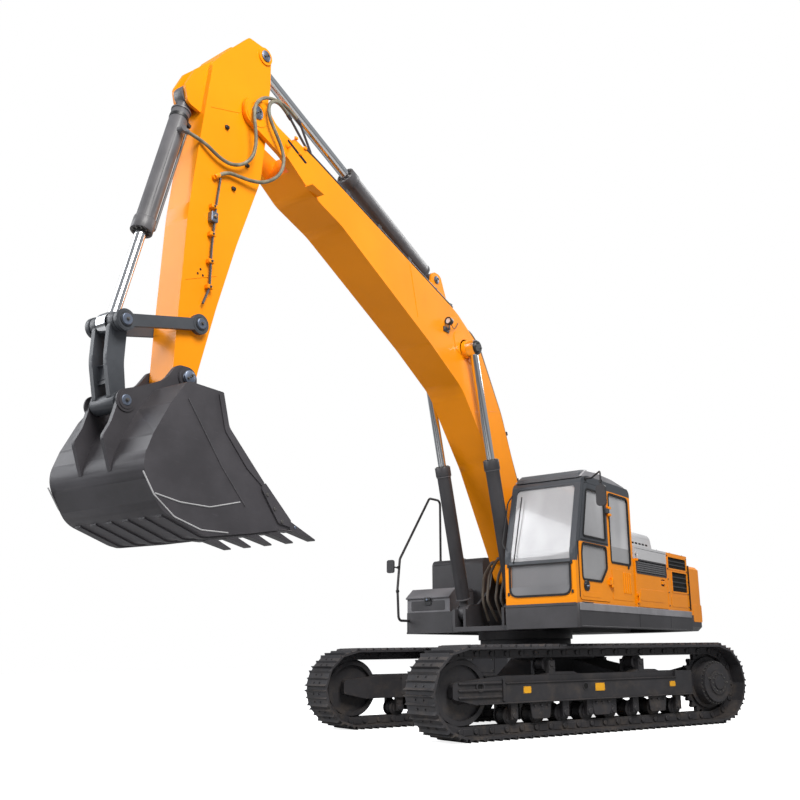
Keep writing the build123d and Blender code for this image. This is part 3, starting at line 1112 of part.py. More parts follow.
def main():
    os.makedirs("parts", exist_ok=True)
    for name, shapes in (("track", [track()]), ("track_frame", [track_frame()])):
        left, right = on_sides(shapes)
        save(name + "_left", turned(left))
        save(name + "_right", turned(right))
    for name, shapes in (("idlers", [idler()]), ("sprockets", [sprocket()]),
                         ("final_drives", final_drive()), ("track_rollers", track_rollers())):
        left, right = on_sides(shapes)
        save(name, turned(left + right))
    save("car_body", turned([car_body()]))
    save("swing_bearing", turned([swing_bearing()]))
    save("upper_frame", [upper_frame()])
    save("counterweight", [counterweight()])
    save("cab_shell", [cab_shell()])
    save("cab_glass", cab_glass())
    save("roof_hatch", [roof_hatch()])
    save("cab_door", [cab_door()])
    save("cab_door_glass", door_glass())
    save("operator_seat", [cab_inside()])
    save("cab_consoles", consoles())
    save("house_walls", house())
    save("side_door_left", [side_door(1)])
    save("side_door_right", [side_door(-1)])
    save("engine_hood", [engine_hood()])
    save("engine_block", [engine_block()])
    save("fuel_tank", [fuel_tank()])
    save("hydraulic_tank", [hydraulic_tank()])
    save("tool_box", [tool_box()])
    save("tool_box_lid", [tool_box_lid()])
    save("valve_block", valve_block())
    save("rails_and_mirrors", [handrails(), left_mirror()])
    save("exhaust_pipe", [exhaust()])
    save("boom", [boom()])
    save("boom_fittings", [boom_lines(), boom_lamp()])
    save("arm_hoses", arm_hoses())
    save("arm", [arm()])
    save("boom_cylinder_barrels",
         both(barrel(BOOM_FOOT_PIN, BOOM_EYE_PIN, BOOM_CYL_Y, BOOM_BARREL, BOOM_ROD,
                     BOOM_BARREL_LENGTH, PIN)))
    save("boom_cylinder_rods",
         both(rod(BOOM_FOOT_PIN, BOOM_EYE_PIN, BOOM_CYL_Y, BOOM_ROD, BOOM_ROD_LENGTH, 6)))
    save("arm_cylinder_barrel", [barrel(ARM_FOOT_PIN, ARM_EYE_PIN, 0, ARM_BARREL, ARM_ROD,
                                        ARM_BARREL_LENGTH, PIN)])
    save("arm_cylinder_rod", [rod(ARM_FOOT_PIN, ARM_EYE_PIN, 0, ARM_ROD, ARM_ROD_LENGTH, 0)])
    save("bucket_cylinder_barrel", [bucket_barrel()])
    save("bucket_cylinder_rod", [rod(TIP_FOOT_PIN, TIP_EYE_PIN, 0, TIP_ROD, TIP_ROD_LENGTH, 0)])
    save("rocker_links", [rocker_links()])
    save("tipping_link", [tipping_link()])
    save("bucket", [bucket()])
    save("bucket_teeth", bucket_teeth())


main()
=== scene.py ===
"""Looks of a crawler excavator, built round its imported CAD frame."""

import logging
import math
from dataclasses import dataclass
from enum import Enum
from typing import Iterable, Sequence, Union

import bmesh
import bpy
from mathutils import Matrix, Vector


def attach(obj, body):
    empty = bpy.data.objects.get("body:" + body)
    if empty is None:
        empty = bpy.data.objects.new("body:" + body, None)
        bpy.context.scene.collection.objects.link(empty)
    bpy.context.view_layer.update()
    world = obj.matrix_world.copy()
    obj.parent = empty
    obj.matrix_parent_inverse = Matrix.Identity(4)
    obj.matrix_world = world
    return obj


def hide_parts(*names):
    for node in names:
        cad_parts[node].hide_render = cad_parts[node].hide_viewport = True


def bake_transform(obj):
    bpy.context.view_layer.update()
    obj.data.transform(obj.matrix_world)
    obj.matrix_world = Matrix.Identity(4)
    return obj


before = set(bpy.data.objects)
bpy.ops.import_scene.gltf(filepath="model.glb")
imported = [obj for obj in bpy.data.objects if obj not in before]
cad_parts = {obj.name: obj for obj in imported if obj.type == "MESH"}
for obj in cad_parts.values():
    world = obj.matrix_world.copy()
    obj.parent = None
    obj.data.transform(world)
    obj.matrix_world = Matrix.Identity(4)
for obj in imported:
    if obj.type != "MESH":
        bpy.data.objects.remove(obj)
log = logging.getLogger("excavator")

Point = Sequence[float]
Colour = tuple[float, float, float]
Outline = Sequence[tuple[float, ...]]
Places = Iterable[Matrix]
Spot = tuple[float, float]
Term = Union["Sock", float]
AHEAD, LEFT, UP = (1.0, 0.0, 0.0), (0.0, 1.0, 0.0), (0.0, 0.0, 1.0)
BACK, RIGHT, DOWN = (-1.0, 0.0, 0.0), (0.0, -1.0, 0.0), (0.0, 0.0, -1.0)
MIRRORED = Matrix.Scale(-1.0, 4, LEFT)
REST = (Matrix.Identity(4),)
BOTH = (Matrix.Identity(4), MIRRORED)
SIGNS = (-1.0, 1.0)
SHARP, BEVELLED = math.radians(34), math.radians(40)
STRAIGHT = 1.56
MERGE = 1e-5
ZONE_BLUR = 0.001
FAR = 9.0


class Axis(Enum):
    """The machine's axes: forward, left and up."""

    X = 0
    Y = 1
    Z = 2


def paint_chip(red: int, green: int, blue: int) -> Colour:
    """A colour in the shader's linear numbers.

    Args:
        red: screen value from 0 to 255.
        green: screen value from 0 to 255.
        blue: screen value from 0 to 255.

    Returns:
        The colour.
    """
    return tuple((c / 255 / 12.92) if c < 11 else ((c / 255 + 0.055) / 1.055) ** 2.4
                 for c in (red, green, blue))


class Sock:
    """One value in a shader, on which Python's operators stand for Math nodes."""

    def __init__(self, graph: "Graph", out: bpy.types.NodeSocket) -> None:
        """Keeps the graph, and the socket that carries the value."""
        self.graph, self.out = graph, out

    def _math(self, operation: str, left: Term, right: Term = 0.0) -> "Sock":
        """A Math node of two terms."""
        return self.graph.node("ShaderNodeMath", {"operation": operation}, {0: left, 1: right})

    def __add__(self, other: Term) -> "Sock":
        """Sum."""
        return self._math("ADD", self, other)

    def __sub__(self, other: Term) -> "Sock":
        """Difference."""
        return self._math("SUBTRACT", self, other)

    def __rsub__(self, other: Term) -> "Sock":
        """Difference from a number."""
        return self._math("SUBTRACT", other, self)

    def __mul__(self, other: Term) -> "Sock":
        """Product."""
        return self._math("MULTIPLY", self, other)

    __radd__, __rmul__ = __add__, __mul__

    def sine(self) -> "Sock":
        """Sine of the value in radians."""
        return self._math("SINE", self)

    def most(self, other: Term) -> "Sock":
        """The larger of two values."""
        return self._math("MAXIMUM", self, other)

    def span(self, low: float, high: float) -> "Sock":
        """Smooth rise from 0 at low to 1 at high."""
        return self.graph.node("ShaderNodeMapRange", {"interpolation_type": "SMOOTHSTEP"},
                               {"Value": self, "From Min": low, "From Max": high})


class Graph:
    """The node tree of one material, or of the world."""

    def __init__(self, owner: Union[bpy.types.Material, bpy.types.World]) -> None:
        """Empties the owner's tree, to fill it anew."""
        owner.use_nodes = True
        self.tree = owner.node_tree
        self.tree.nodes.clear()
        self._where: Sock | None = None

    def node(self, kind: str, settings: dict, terms: dict, out: int | str = 0) -> Sock:
        """Adds a node.

        Args:
            kind: Blender's type name.
            settings: properties, set before the terms.
            terms: values or sockets by the input's name or number.
            out: the output that is wanted.

        Returns:
            The chosen output.
        """
        made = self.tree.nodes.new(kind)
        for key, value in settings.items():
            setattr(made, key, value)
        for key, value in terms.items():
            socket = made.inputs[key]
            if isinstance(value, Sock):
                self.tree.links.new(value.out, socket)
            elif isinstance(value, tuple) and len(socket.default_value) == 4:
                socket.default_value = (*value[:3], 1.0)
            else:
                socket.default_value = value
        return Sock(self, made.outputs[out])

    def where(self) -> Sock:
        """Finds the point on the machine; the node is made at its first use.

        Returns:
            The point, in metres.
        """
        if self._where is None:
            self._where = self.node("ShaderNodeTexCoord", {}, {}, "Object")
        return self._where

    def axis(self, index: int) -> Sock:
        """One coordinate of the point."""
        return self.node("ShaderNodeSeparateXYZ", {}, {0: self.where()}, index)

    def facing_up(self) -> Sock:
        """How far the surface faces up, from -1 to 1."""
        normal = self.node("ShaderNodeTexCoord", {}, {}, "Normal")
        return self.node("ShaderNodeSeparateXYZ", {}, {0: normal}, 2)

    def noise(self, scale: float, detail: float = 2.0, rough: float = 0.5,
              stretch: Point | None = None) -> Sock:
        """Cloudy noise.

        Args:
            scale: clouds in a metre.
            detail: number of finer layers.
            rough: weight of the finer layers.
            stretch: factor on each axis of the point.

        Returns:
            A value from 0 to 1.
        """
        where = self.where()
        if stretch:
            where = self.node("ShaderNodeMapping", {}, {"Vector": where, "Scale": tuple(stretch)})
        return self.node("ShaderNodeTexNoise", {}, {"Vector": where, "Scale": scale,
                                                    "Detail": detail, "Roughness": rough})

    def cells(self, scale: float) -> Sock:
        """Distance to the nearest cell middle."""
        return self.node("ShaderNodeTexVoronoi", {}, {"Vector": self.where(), "Scale": scale})

    def mix(self, share: Term, low: Union[Sock, Colour], high: Union[Sock, Colour]) -> Sock:
        """Colour between two colours."""
        return self.node("ShaderNodeMix", {"data_type": "RGBA"}, {0: share, 6: low, 7: high}, 2)

    def bump(self, height: Sock, distance: float, strength: float = 1.0) -> Sock:
        """Normal of a surface raised by height times distance, in metres."""
        return self.node("ShaderNodeBump", {}, {"Height": height, "Distance": distance,
                                                "Strength": strength})

    def end(self, last: Sock, kind: str = "ShaderNodeOutputMaterial") -> None:
        """Leads the last shader to the output."""
        self.tree.links.new(last.out, self.tree.nodes.new(kind).inputs["Surface"])

    def surface(self, colour: Union[Sock, Colour], roughness: Term, normal: Sock | None = None,
                **fixed: Term) -> None:
        """Ends the graph in the principled shader.

        Args:
            colour: base colour.
            roughness: roughness.
            normal: bumped normal.
            **fixed: other inputs, with _ for a space in the name.
        """
        terms = {"Base Color": colour, "Roughness": roughness}
        if normal is not None:
            terms["Normal"] = normal
        terms.update({key.replace("_", " "): value for key, value in fixed.items()})
        self.end(self.node("ShaderNodeBsdfPrincipled", {}, terms))


DUST, DRY_MUD = paint_chip(186, 172, 148), paint_chip(128, 112, 94)


@dataclass(frozen=True)
class Zone:
    """Box of a piece that is painted in another colour.

    With a lean, its front and back move back by that share of the height above its foot.
    """

    low: tuple[float, float, float]
    high: tuple[float, float, float]
    colour: Colour
    lean: float = 0.0

    def mask(self, graph: Graph) -> Sock:
        """Where the box is.

        Args:
            graph: the material's graph.

        Returns:
            1 inside the box and 0 outside.
        """
        share: Term = 1.0
        for axis, (low, high) in enumerate(zip(self.low, self.high)):
            where = graph.axis(axis)
            if axis == 0 and self.lean:
                where = where + (graph.axis(2) - self.low[2]) * self.lean
            share = where.span(low - ZONE_BLUR, low + ZONE_BLUR) * share
            share = (1.0 - where.span(high - ZONE_BLUR, high + ZONE_BLUR)) * share
        return share


@dataclass(frozen=True)
class Finish:
    """A surface finish with its colour and roughness."""

    name: str
    colour: Colour
    roughness: float

    def shaded(self, factor: float) -> Colour:
        """The colour made lighter or darker."""
        return tuple(min(1.0, c * factor) for c in self.colour)

    @staticmethod
    def zoned(graph: Graph, tone: Sock, zones: Sequence[Zone]) -> Sock:
        """Lays the zones' colours over a tone.

        Args:
            graph: the material's graph.
            tone: the tone outside all zones.
            zones: the zones.

        Returns:
            The tone with the other colour in every zone.
        """
        for zone in zones:
            tone = graph.mix(zone.mask(graph), tone, zone.colour)
        return tone

    def shade(self, graph: Graph) -> None:
        """Fills a material's graph; every kind of finish has its own."""
        raise NotImplementedError

    def material(self) -> bpy.types.Material:
        """Looks the material up, or makes it at its first use.

        Returns:
            The finish's material.
        """
        known = bpy.data.materials.get(self.name)
        if known is None:
            known = bpy.data.materials.new(self.name)
            self.shade(Graph(known))
        return known


@dataclass(frozen=True)
class Lacquer(Finish):
    """Sprayed paint with a clear gloss, orange peel and a little dust on what faces up."""

    coat: float = 0.08
    dust: float = 0.06
    zones: tuple[Zone, ...] = ()

    def shade(self, graph: Graph) -> None:
        """Shades the paint, its dust and its zones.

        Args:
            graph: the material's graph.
        """
        cloud = graph.noise(1.1, 3.0)
        peel = graph.noise(260.0, 1.0)
        film = graph.noise(7.0, 6.0, 0.65)
        streak = graph.noise(3.0, 4.0, 0.6, (7.0, 7.0, 0.6)).span(0.55, 0.8)
        settled = graph.facing_up().span(0.35, 1.0) * film.span(0.35, 0.75) * self.dust
        tone = graph.mix(cloud.span(0.25, 0.75), self.shaded(0.93), self.shaded(1.04))
        tone = graph.mix(streak * 0.12, tone, self.shaded(0.72))
        tone = self.zoned(graph, tone, self.zones)
        tone = graph.mix(settled, tone, DUST)
        rough = self.roughness + cloud * 0.05 + settled * 0.4 + streak * 0.08
        relief = graph.bump(peel * 0.5 + film * 0.5, 0.0006, 0.35)
        graph.surface(tone, rough, relief, Coat_Weight=self.coat, Coat_Roughness=0.12,
                      Specular_IOR_Level=0.16)


@dataclass(frozen=True)
class Satin(Finish):
    """Satin coating on plate or casting, with grain, scuffs and dry mud near the ground."""

    grain: float = 0.3
    scuff: float = 0.3
    mud: float = 0.2

    def shade(self, graph: Graph) -> None:
        """Shades the coating, its scuffs and its mud.

        Args:
            graph: the material's graph.
        """
        cloud = graph.noise(2.3, 4.0, 0.6)
        grit = graph.noise(95.0, 3.0, 0.6)
        drag = graph.noise(6.0, 5.0, 0.7, (1.0, 1.0, 9.0)).span(0.6, 0.78)
        low = 1.0 - graph.axis(2).span(0.05, 1.1)
        caked = low * graph.noise(5.0, 7.0, 0.7).span(0.45, 0.75) * self.mud
        settled = graph.facing_up().span(0.2, 1.0) * cloud.span(0.35, 0.7) * (self.mud * 0.7)
        tone = graph.mix(cloud.span(0.25, 0.75), self.shaded(0.8), self.shaded(1.22))
        tone = graph.mix(drag * self.scuff, tone, self.shaded(2.6))
        tone = graph.mix(caked.most(settled), tone, DRY_MUD)
        rough = self.roughness + cloud * 0.16 - drag * (0.22 * self.scuff) + caked * 0.25
        relief = graph.bump(grit * 0.6 + cloud * 0.4, 0.0015 * self.grain, 0.8)
        graph.surface(tone, rough, relief, Specular_IOR_Level=0.45)


@dataclass(frozen=True)
class BareMetal(Finish):
    """Turned or plated metal with a fine grain."""

    grain: float = 0.1
    zones: tuple[Zone, ...] = ()

    def shade(self, graph: Graph) -> None:
        """Shades the metal, its grain and its zones.

        Args:
            graph: the material's graph.
        """
        film = graph.noise(4.0, 4.0, 0.6)
        fine = graph.noise(420.0, 2.0)
        tone = graph.mix(film.span(0.3, 0.8), self.shaded(1.0), self.shaded(0.86))
        rough = self.roughness + film * 0.06 + fine * self.grain
        tone = self.zoned(graph, tone, self.zones)
        metal: Term = 1.0
        for zone in self.zones:
            mask = zone.mask(graph)
            metal, rough = (1.0 - mask) * metal, rough + mask * 0.35
        graph.surface(tone, rough, graph.bump(fine, 0.0002, self.grain * 3), Metallic=metal)


@dataclass(frozen=True)
class HoseRubber(Finish):
    """Rubber with a spiral wrap and a dull bloom."""

    def shade(self, graph: Graph) -> None:
        """Shades the rubber, its bloom and its ribs.

        Args:
            graph: the material's graph.
        """
        bloom = graph.noise(14.0, 4.0, 0.6)
        ribs = ((graph.axis(0) + graph.axis(2)) * 520.0).sine() * 0.5 + 0.5
        tone = graph.mix(bloom.span(0.35, 0.75), self.shaded(0.8), self.shaded(1.7))
        graph.surface(tone, self.roughness + bloom * 0.2, graph.bump(ribs, 0.0006, 0.5))


@dataclass(frozen=True)
class Pane(Finish):
    """Tinted, partly opaque glass pane with a thin, uneven film of dust; on the cab the pale tint
    is painted reflection.
    """

    veil: float = 0.5
    zones: tuple[Zone, ...] = ()

    def shade(self, graph: Graph) -> None:
        """Shades the pane, its film of dust and its zones.

        Args:
            graph: the material's graph.
        """
        film = graph.noise(3.0, 5.0, 0.6)
        sweep = graph.noise(1.3, 2.0, 0.5, (1.0, 1.0, 0.5)).span(0.35, 0.7)
        tone = graph.mix(sweep, self.shaded(0.8), self.shaded(1.25))
        tone = self.zoned(graph, tone, self.zones)
        veil = film * 0.16 + sweep * 0.12 + self.veil
        graph.surface(tone, self.roughness + film * 0.04, Alpha=veil, Specular_IOR_Level=0.8,
                      Coat_Weight=0.6)


@dataclass(frozen=True)
class Moulding(Finish):
    """Moulded plastic or soft trim with a fine leather-like grain."""

    def shade(self, graph: Graph) -> None:
        """Shades the plastic, its grain and its wear.

        Args:
            graph: the material's graph.
        """
        pebble = graph.cells(330.0)
        wear = graph.noise(5.0, 4.0, 0.6)
        tone = graph.mix(wear.span(0.3, 0.8), self.shaded(0.85), self.shaded(1.3))
        graph.surface(tone, self.roughness + wear * 0.12, graph.bump(pebble, 0.0004, 0.6))


ORANGE = Lacquer("orange_gloss", paint_chip(252, 150, 12), 0.3)
SLATE, PALE, DARK = paint_chip(70, 73, 78), paint_chip(196, 196, 198), paint_chip(52, 52, 54)
CAST = paint_chip(64, 67, 72)
CAB_PAINT = Lacquer("cab_two_tone", ORANGE.colour, 0.3, zones=(
    Zone((1.298, 0.0, 2.005), (FAR, FAR, FAR), SLATE, 0.287),
    Zone((-FAR, 0.0, 2.972), (FAR, FAR, FAR), SLATE)))
DOOR_PAINT = Lacquer("cab_door_two_tone", ORANGE.colour, 0.3, zones=(
    Zone((-FAR, 0.0, 2.243), (FAR, FAR, FAR), SLATE),))
SIDE_PAINT = Lacquer("side_door_two_tone", ORANGE.colour, 0.3, zones=(
    Zone((-1.72, 1.3, 2.16), (-0.2, FAR, FAR), PALE),
    Zone((-1.62, 1.2, 1.972), (-0.48, 1.4688, 2.148), paint_chip(104, 104, 107))))
WALL_PAINT = Lacquer("house_two_tone", ORANGE.colour, 0.3, zones=(
    Zone((-1.64, 1.3, 2.16), (-0.2, FAR, FAR), PALE),
    Zone((-2.45, 1.2, 1.775), (-1.82, 1.4688, 2.075), DARK),
    Zone((-2.45, 1.2, 2.105), (-1.69, 1.4688, 2.285), DARK)))
TAIL_PAINT = Lacquer("counterweight_two_tone", ORANGE.colour, 0.3, zones=(
    Zone((-FAR, -FAR, -FAR), (FAR, FAR, 1.458), paint_chip(62, 61, 64)),))
# Pale grey for the cab roof's side rims, and painted highlight where the deck's rounded top edges
# catch the light.
RIM_GREY_AND_HIGHLIGHT = Satin("rim_grey_and_painted_highlight", paint_chip(140, 139, 143), 0.35, 0.15, 0.1, 0.05)
BOX_GREY = Satin("tool_box_grey", paint_chip(118, 117, 121), 0.38, 0.2, 0.1, 0.1)
BEAD = Satin("weld_bead", paint_chip(176, 176, 178), 0.4, 0.3, 0.1, 0.05)
LIGHT_GREY = Lacquer("light_grey_gloss", PALE, 0.36, 0.2, 0.15)
DECK_GREY = Satin("deck_charcoal", paint_chip(62, 61, 64), 0.42, 0.25, 0.15, 0.15)
FRAME_GREY = Satin("cab_frame_grey", paint_chip(74, 77, 82), 0.34, 0.15, 0.1, 0.08)
BUCKET_GREY = Satin("bucket_charcoal", paint_chip(62, 60, 64), 0.4, 0.4, 0.3, 0.12)
LINK_GREY = Satin("link_casting", CAST, 0.38, 1.0, 0.25, 0.1)
# The boom cylinders' barrels: the barrel grey darkened with painted shade, for the shadow they lie
# in.
BOOM_BARREL_PAINTED_SHADE = Satin("boom_barrel_painted_shade_grey", paint_chip(62, 61, 64), 0.36, 0.15, 0.12, 0.08)
BARREL_GREY = Satin("barrel_grey", paint_chip(92, 91, 94), 0.34, 0.15, 0.12, 0.08)
TRACK_BLACK = Satin("track_black", paint_chip(52, 51, 54), 0.5, 0.9, 0.5, 0.3)
BODY_BLACK = Satin("undercarriage_black", paint_chip(48, 47, 50), 0.45, 0.4, 0.2, 0.25)
CHROME = BareMetal("rod_chrome", (0.88, 0.88, 0.9), 0.07, 0.05, (
    Zone((1.69, -1.0, 4.615), (1.93, 1.0, 4.855), CAST),
    Zone((5.31, -1.0, 6.84), (5.55, 1.0, 7.1), CAST),
    Zone((6.785, -1.0, 3.5), (7.025, 1.0, 3.74), CAST)))
PIN_STEEL = BareMetal("pin_steel", paint_chip(128, 138, 156), 0.32, 0.25)
BOLT_STEEL = BareMetal("bolt_steel", paint_chip(120, 118, 116), 0.38, 0.3)
RUBBER = HoseRubber("hose_rubber", paint_chip(54, 54, 54), 0.5)
TRIM = Moulding("cab_trim", paint_chip(40, 41, 44), 0.55)
SEAT_CLOTH = Moulding("seat_cover", paint_chip(46, 46, 50), 0.8)
BOLT_DARK = Satin("dark_bolts", paint_chip(58, 57, 60), 0.4, 0.2, 0.3, 0.15)
BLACK_STEEL = Satin("black_steel", paint_chip(34, 34, 36), 0.35, 0.15, 0.1, 0.1)
SEAL = HoseRubber("window_seal", paint_chip(20, 20, 21), 0.6)
SHADOW = Moulding("dark_opening", paint_chip(14, 14, 15), 0.9)
LINE_STEEL = Satin("steel_line", paint_chip(62, 62, 66), 0.3, 0.1, 0.1, 0.05)
BRASS = BareMetal("fitting_brass", paint_chip(168, 142, 112), 0.35, 0.25)
LABEL = Satin("blank_label", paint_chip(238, 170, 30), 0.4, 0.1, 0.05, 0.05)
MESH_WIRE = BareMetal("grille_wire", paint_chip(74, 74, 72), 0.45, 0.2)
LENS = Pane("lamp_lens", paint_chip(214, 216, 220), 0.08, 0.9)
REFLECTOR = Lacquer("reflector_red", paint_chip(150, 16, 14), 0.25, 0.8, 0.1)
MIRROR_GLASS = BareMetal("mirror_glass", paint_chip(206, 210, 214), 0.05, 0.02)
SCREEN = Pane("monitor_screen", paint_chip(18, 22, 28), 0.12, 0.95)
HOSE_SKIN = HoseRubber("arm_hose_rubber", paint_chip(112, 108, 92), 0.42)
# The cab's panes: pale painted reflection laid on the glass, darker on the lower front pane and on
# the left side's lower panes.
GLASS = Pane("cab_pane_painted_reflection", paint_chip(206, 206, 209), 0.06, 0.62, (
    Zone((1.2, 0.0, 1.0), (FAR, 1.44, 2.0), paint_chip(140, 140, 143)),
    Zone((-FAR, 1.42, 1.0), (FAR, FAR, 2.262), paint_chip(176, 176, 178))))
# Glass below the lower front pane, in that pane's darker painted reflection.
LOW_GLASS = Pane("lower_pane_edge_painted_reflection", paint_chip(128, 128, 131), 0.08, 0.9)


def put(name: str, data: bpy.types.ID) -> bpy.types.Object:
    """Puts a new object with its mesh, lamp or camera in the scene.

    Args:
        name: the object's name.
        data: its mesh, lamp or camera.

    Returns:
        The object.
    """
    made = bpy.data.objects.new(name, data)
    bpy.context.scene.collection.objects.link(made)
    return made


def dress(node: str, finish: Finish, edge: float = 0.0) -> None:
    """Gives a CAD node its finish and softens its edges.

    Args:
        node: the CAD node's name.
        finish: its finish.
        edge: width of the softened edges in metres, 0 for none.
    """
    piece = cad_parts[node]
    piece.data.materials.clear()
    piece.data.materials.append(finish.material())
    if edge:
        weld = piece.modifiers.new("merge", "WELD")
        weld.merge_threshold = 5 * MERGE
        bevel = piece.modifiers.new("edges", "BEVEL")
        bevel.width, bevel.segments = edge, 2
        bevel.limit_method, bevel.angle_limit = "ANGLE", BEVELLED
        bevel.harden_normals = True
    log.info("dressed %s", node)


def on(place: Point, out: Point = UP) -> Matrix:
    """Matrix that puts a shape's Z axis along a direction at a place.

    Args:
        place: where the shape's origin goes.
        out: direction of its Z axis.

    Returns:
        The matrix.
    """
    aim = Vector(out).to_track_quat("Z", "Y").to_matrix().to_4x4()
    return Matrix.Translation(place) @ aim


def panel(left: float, low: float, right: float, high: float, radius: float) -> Outline:
    """Outline of an upright or lying rectangle with rounded corners.

    Args:
        left: first coordinate of two corners.
        low: second coordinate of two corners.
        right: first coordinate of the other two.
        high: second coordinate of the other two.
        radius: corner radius.

    Returns:
        The four corners with their radius.
    """
    return tuple((x, y, radius) for x, y in ((left, low), (right, low), (right, high),
                                             (left, high)))


class Form:
    """A piece put together from simple closed shapes, each with its own finish."""

    def __init__(self, name: str) -> None:
        """Starts an empty piece of that name."""
        self.name = name
        self.whole = bmesh.new()
        self.finishes: list[Finish] = []

    def add(self, finish: Finish, shape: bmesh.types.BMesh, places: Places) -> None:
        """Adds a shape at every place, and frees it.

        Args:
            finish: its finish.
            shape: the shape.
            places: where it goes.
        """
        if finish not in self.finishes:
            self.finishes.append(finish)
        index = self.finishes.index(finish)
        for face in shape.faces:
            face.material_index = index
        mesh = bpy.data.meshes.new("shape")
        for place in places:
            copy = shape.copy()
            copy.transform(place)
            copy.to_mesh(mesh)
            copy.free()
            self.whole.from_mesh(mesh)
        shape.free()
        bpy.data.meshes.remove(mesh)

    @staticmethod
    def _soften(shape: bmesh.types.BMesh, edges: Iterable[bmesh.types.BMEdge],
                width: float) -> None:
        """Breaks some of a shape's edges.

        Args:
            shape: the shape.
            edges: the edges.
            width: width of the broken edges, 0 for none.
        """
        if width:
            bmesh.ops.bevel(shape, geom=list(edges), offset=width, segments=1, profile=0.5,
                            affect="EDGES", material=-1, clamp_overlap=True)

    def box(self, finish: Finish, start: Point, end: Point, edge: float = 0.003,
            places: Places = REST) -> None:
        """Box between two opposite corners.

        Args:
            finish: its finish.
            start: one corner.
            end: the corner opposite.
            edge: width of its broken edges.
            places: where it goes.
        """
        shape = bmesh.new()
        bmesh.ops.create_cube(shape, size=1.0)
        middle = (Vector(start) + Vector(end)) / 2
        size = [abs(far - near) for near, far in zip(start, end)]
        shape.transform(Matrix.Translation(middle) @ Matrix.Diagonal((*size, 1.0)))
        self._soften(shape, shape.edges, edge)
        self.add(finish, shape, places)

    def bar(self, finish: Finish, start: Point, end: Point, wide: float, high: float,
            edge: float = 0.002, places: Places = REST) -> None:
        """Flat bar from start to end; its width lies across, level for a sloping bar.

        Args:
            finish: its finish.
            start: middle of one end.
            end: middle of the other end.
            wide: its width.
            high: its thickness.
            edge: width of its broken edges.
            places: where it goes.
        """
        run = Vector(end) - Vector(start)
        self.box(finish, (-high / 2, -wide / 2, 0.0), (high / 2, wide / 2, run.length), edge,
                 [place @ self._lying(start, run) for place in places])

    @staticmethod
    def _lying(start: Point, run: Vector) -> Matrix:
        """Frame with Z along a run and Y level.

        Args:
            start: the frame's origin.
            run: the run.

        Returns:
            The frame's matrix.
        """
        ahead = run.normalized()
        level = Vector(UP).cross(ahead)
        level = level.normalized() if level.length > 0.01 else Vector(LEFT)
        third = level.cross(ahead)
        turn = Matrix((third, level, ahead)).transposed().to_4x4()
        return Matrix.Translation(start) @ turn

    def plate(self, finish: Finish, outline: Outline, low: float, high: float,
              across: Axis = Axis.Y, edge: float = 0.002,
              places: Places = REST) -> None:
        """Plate with an outline, between two planes across an axis.

        Args:
            finish: its finish.
            outline: corners on the other two axes in their order, and a corner radius.
            low: plane of one face.
            high: plane of the other face.
            across: the axis.
            edge: width of its broken edges.
            places: where it goes.
        """
        shape = bmesh.new()
        foot = self._loop(shape, self.rounded(outline), across, low)
        shape.faces.new(foot)
        raised = bmesh.ops.extrude_face_region(shape, geom=shape.faces[:])["geom"]
        for corner in raised:
            if isinstance(corner, bmesh.types.BMVert):
                corner.co[across.value] = high
        bmesh.ops.recalc_face_normals(shape, faces=shape.faces[:])
        self._soften(shape, [e for e in shape.edges if len({v in foot for v in e.verts}) == 1],
                     edge)
        self.add(finish, shape, places)

    @staticmethod
    def _loop(shape: bmesh.types.BMesh, corners: Iterable[Vector], across: Axis,
              level: float) -> list[bmesh.types.BMVert]:
        """Adds the corners of an outline to a shape.

        Args:
            shape: the shape.
            corners: the corners on the outline's own two axes.
            across: the third axis.
            level: the corners' place on it.

        Returns:
            The new vertices.
        """
        loop = []
        for corner in corners:
            point = list(corner)
            point.insert(across.value, level)
            loop.append(shape.verts.new(point))
        return loop

    def surround(self, finish: Finish, outline: Outline, inner: float, outer: float,
                 low: float, high: float, across: Axis = Axis.Y) -> None:
        """Flat frame along an outline.

        Args:
            finish: its finish.
            outline: the outline, as for a plate.
            inner: how far it reaches inside the outline.
            outer: how far it reaches outside.
            low: plane of one face.
            high: plane of the other face.
            across: the axis that it stands across.
        """
        corners = self.rounded(outline, 5)
        middle = sum(corners, Vector((0.0, 0.0))) / len(corners)
        outward = []
        for back, here, ahead in zip(corners[-1:] + corners[:-1], corners,
                                     corners[1:] + corners[:1]):
            run = (ahead - back).normalized()
            out = Vector((run.y, -run.x))
            outward.append(-out if out.dot(here - middle) < 0 else out)
        shape = bmesh.new()
        loops = [self._loop(shape, [here + out * reach for here, out in zip(corners, outward)],
                            across, level)
                 for reach, level in ((-inner, low), (-inner, high), (outer, high), (outer, low))]
        for near, far in zip(loops, loops[1:] + loops[:1]):
            for i in range(len(near)):
                shape.faces.new((near[i - 1], near[i], far[i], far[i - 1]))
        self.add(finish, shape, REST)

    @staticmethod
    def rounded(outline: Outline, steps: int = 4) -> list[Vector]:
        """Rounds each corner of an outline by its radius.

        Args:
            outline: the corners, each with a radius or without one.
            steps: number of runs round a corner.

        Returns:
            The points of the rounded outline.
        """
        points = []
        flat = [Vector(corner[:2]) for corner in outline]
        for i, corner in enumerate(outline):
            here = flat[i]
            radius = corner[2] if len(corner) > 2 else 0.0
            back, ahead = flat[i - 1] - here, flat[(i + 1) % len(flat)] - here
            half = back.angle(ahead) / 2
            if radius <= 0.0 or half > STRAIGHT:
                points.append(here)
                continue
            reach = min(radius / math.tan(half), back.length * 0.49, ahead.length * 0.49)
            start, end = here + back.normalized() * reach, here + ahead.normalized() * reach
            for step in range(steps + 1):
                t = step / steps
                points.append(start * (1 - t) ** 2 + here * (2 * t * (1 - t)) + end * t * t)
        return points

